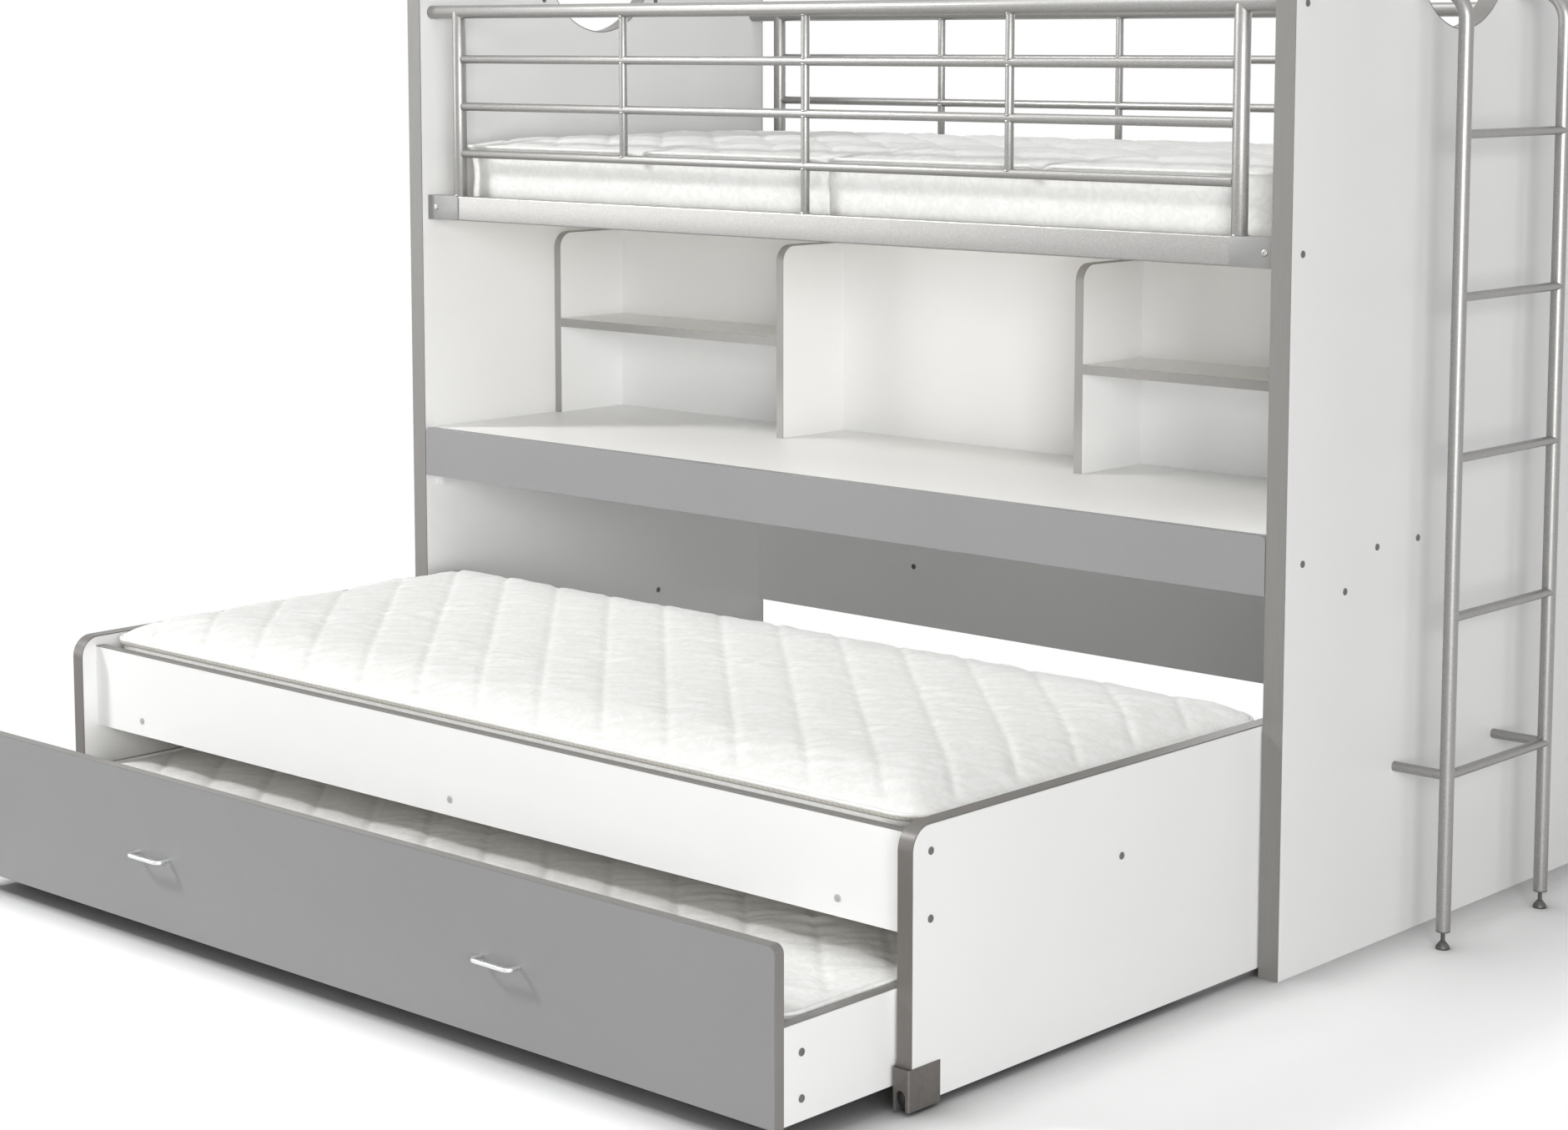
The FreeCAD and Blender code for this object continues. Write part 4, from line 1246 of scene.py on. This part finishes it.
def piping(piece, groupName, name):
    openEdit(piece, "VERT")
    piece.vertex_groups.active_index = piece.vertex_groups[groupName].index
    bpy.ops.object.vertex_group_select()
    bpy.ops.mesh.duplicate()
    bpy.ops.mesh.separate(type="SELECTED")
    closeEdit()
    cord = [o for o in bpy.context.selected_objects if o is not piece][0]
    only(cord)
    cord.vertex_groups.clear()
    bpy.ops.object.convert(target="CURVE")
    cord = bpy.context.object
    cord.data.bevel_depth = pad["cord"]
    cord.data.bevel_resolution = pad["cordSteps"]
    bpy.ops.object.convert(target="MESH")
    cord = bpy.context.object
    cord.name = name
    cord.data.name = name
    return smoothed(cleaned(cord), pad["cordSmoothBelow"])


def makeMattress(nodeName, spec):
    piece = mattressBlank(nodeName, spec["edge"])
    blowUp(piece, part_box(nodeName)[0].z, spec["edge"])
    pinched(piece, nodeName, spec["pinches"])
    cords = [
        piping(piece, "topRim", camel(nodeName) + "TopPiping"),
        piping(piece, "bottomRim", camel(nodeName) + "BottomPiping"),
    ]
    piece.vertex_groups.clear()
    modify(piece, "SUBSURF", {"levels": 1, "render_levels": 1})
    gathered(piece, nodeName, spec["seams"])
    # the flat underside needs few faces
    openEdit(piece, "FACE")
    selectFaces(piece, lambda centre, normal: normal.z < -pad["undersideFacing"])
    bpy.ops.mesh.dissolve_faces()
    closeEdit()
    smoothed(piece, pad["smoothBelow"])
    dressed(piece, spec["body"], "mattress_ticking", [nodeName])
    for cord in cords:
        dressed(cord, spec["body"], "mattress_ticking", [nodeName])
    if spec["taped"]:
        # a grey tape under the top piping, which paints the shadow line beneath it
        shadowStrip = copied(cords[0], camel(nodeName) + "EdgeTape", Vector((0, 0, -pad["shadowLineDown"])))
        dressed(shadowStrip, spec["body"], "mattress_ticking", [nodeName], makeShadowLineTape())


for nodeName, spec in mattresses.items():
    makeMattress(nodeName, spec)
print("mattresses filled")


# Stage, light and camera

studio = {
    "floorColour": "#E8E8E8", "floorReach": 14.0, "floorSeen": 1.3, "paintedShadeReach": 0.13,
    "paintedShadeSamples": 8, "shadeHalf": (1.12, 1.06, 0.0), "whiteFrom": 0.0, "whiteTo": 0.7,
    "skyStrength": 0.02, "lampAim": (0.0, 0.0, 0.7),
}
softboxes = {
    "keySoftbox": {"place": (-5.6, -4.3, 5.6), "size": 1.2, "power": 420},
    "leftSoftbox": {"place": (-7.5, -6.5, 1.7), "size": 4.0, "power": 182},
    "rightSoftbox": {"place": (7.0, -6.5, 1.9), "size": 4.0, "power": 490},
    "sideSoftbox": {"place": (8.5, -4.0, 2.6), "size": 4.0, "power": 150},
    "topSoftbox": {"place": (0.0, -1.0, 5.0), "size": 3.5, "power": 85},
    "backSoftbox": {"place": (-2.5, 8.0, 1.7), "size": 3.5, "power": 125},
}
photoCamera = {
    "place": (3.664, -4.021, 1.532), "yaw": 42.516, "pitch": -6.615, "lens": 69.10, "sensor": 36,
    "shiftY": -0.11,
}


def seenDirectly(tree):
    # 1 for a ray from the camera, from a shiny surface or through a clear one
    path = addNode(tree, "ShaderNodeLightPath")
    mirrored = addNode(
        tree, "ShaderNodeMath", {"operation": "MAXIMUM"},
        {0: path.outputs["Is Camera Ray"], 1: path.outputs["Is Glossy Ray"]},
    )
    seen = addNode(
        tree, "ShaderNodeMath", {"operation": "MAXIMUM"},
        {0: mirrored.outputs["Value"], 1: path.outputs["Is Transmission Ray"]},
    )
    return seen.outputs["Value"]


def makeFloor():
    bpy.ops.mesh.primitive_plane_add(size=2 * studio["floorReach"], location=(0, 0, 0))
    floor = named("floor")
    material, tree, place = startMaterial("studioFloor")
    # shaded by the lamps under and beside the bed, fading to plain white a little way out
    side = addNode(tree, "ShaderNodeVectorMath", {"operation": "ABSOLUTE"}, {0: place})
    beyond = addNode(
        tree, "ShaderNodeMapping",
        {"vector_type": "POINT", "Location": [-v for v in studio["shadeHalf"]]},
        {"Vector": side.outputs["Vector"]},
    )
    nothing = addNode(tree, "ShaderNodeCombineXYZ")
    outside = addNode(
        tree, "ShaderNodeVectorMath", {"operation": "MAXIMUM"},
        {0: beyond.outputs["Vector"], 1: nothing.outputs["Vector"]},
    )
    length = addNode(tree, "ShaderNodeVectorMath", {"operation": "LENGTH"}, {0: outside.outputs["Vector"]})
    faded = addNode(
        tree, "ShaderNodeMapRange",
        {"interpolation_type": "SMOOTHSTEP", "From Min": studio["whiteFrom"], "From Max": studio["whiteTo"]},
        {"Value": length.outputs["Value"]},
    )
    seen = seenDirectly(tree)
    share = addNode(
        tree, "ShaderNodeMath", {"operation": "MULTIPLY"}, {0: seen, 1: faded.outputs["Result"]}
    )
    paint = addNode(tree, "ShaderNodeBsdfDiffuse", {"Color": hexColour(studio["floorColour"])})
    # seen a little brighter than it bounces, so that only the shade shows; the contact lines are painted
    # shade
    near = addNode(
        tree, "ShaderNodeAmbientOcclusion",
        {
            "samples": studio["paintedShadeSamples"], "Distance": studio["paintedShadeReach"],
            "Color": [studio["floorSeen"]] * 3 + [1.0],
        },
    )
    # ambient occlusion darkens this colour near the object: painted contact shade
    bright = addNode(tree, "ShaderNodeBsdfDiffuse", {}, {"Color": near.outputs["Color"]})
    ground = addNode(
        tree, "ShaderNodeMixShader", {},
        {0: seen, 1: paint.outputs["BSDF"], 2: bright.outputs["BSDF"]},
    )
    white = addNode(tree, "ShaderNodeEmission", {"Strength": 1.0})
    mixed = addNode(
        tree, "ShaderNodeMixShader", {},
        {0: share.outputs["Value"], 1: ground.outputs["Shader"], 2: white.outputs["Emission"]},
    )
    addNode(tree, "ShaderNodeOutputMaterial", {}, {"Surface": mixed.outputs["Shader"]})
    floor.data.materials.append(material)


def makeSky():
    world = bpy.data.worlds.new("studioSky")
    bpy.context.scene.world = world
    world.use_nodes = True
    tree = world.node_tree
    tree.nodes.clear()
    seen = seenDirectly(tree)
    soft = addNode(
        tree, "ShaderNodeBackground", {"Color": (1, 1, 1, 1), "Strength": studio["skyStrength"]}
    )
    white = addNode(tree, "ShaderNodeBackground", {"Color": (1, 1, 1, 1), "Strength": 1.0})
    mixed = addNode(
        tree, "ShaderNodeMixShader", {},
        {0: seen, 1: soft.outputs["Background"], 2: white.outputs["Background"]},
    )
    addNode(tree, "ShaderNodeOutputWorld", {}, {"Surface": mixed.outputs["Shader"]})


def softbox(name, spec):
    aim = Vector(studio["lampAim"]) - Vector(spec["place"])
    bpy.ops.object.light_add(
        type="AREA", location=spec["place"], rotation=aim.to_track_quat("-Z", "Y").to_euler()
    )
    lamp = bpy.context.object
    lamp.name = name
    lamp.data.size = spec["size"]
    lamp.data.energy = spec["power"]


makeFloor()
makeSky()
for name, spec in softboxes.items():
    softbox(name, spec)
bpy.ops.object.camera_add(
    location=photoCamera["place"],
    rotation=(math.radians(90 + photoCamera["pitch"]), 0, math.radians(photoCamera["yaw"])),
)
camera = bpy.context.object
camera.data.sensor_width = photoCamera["sensor"]
camera.data.lens = photoCamera["lens"]
camera.data.shift_y = photoCamera["shiftY"]
bpy.context.scene.camera = camera
bpy.context.scene.view_settings.view_transform = "Standard"
print("stage, light and camera set")
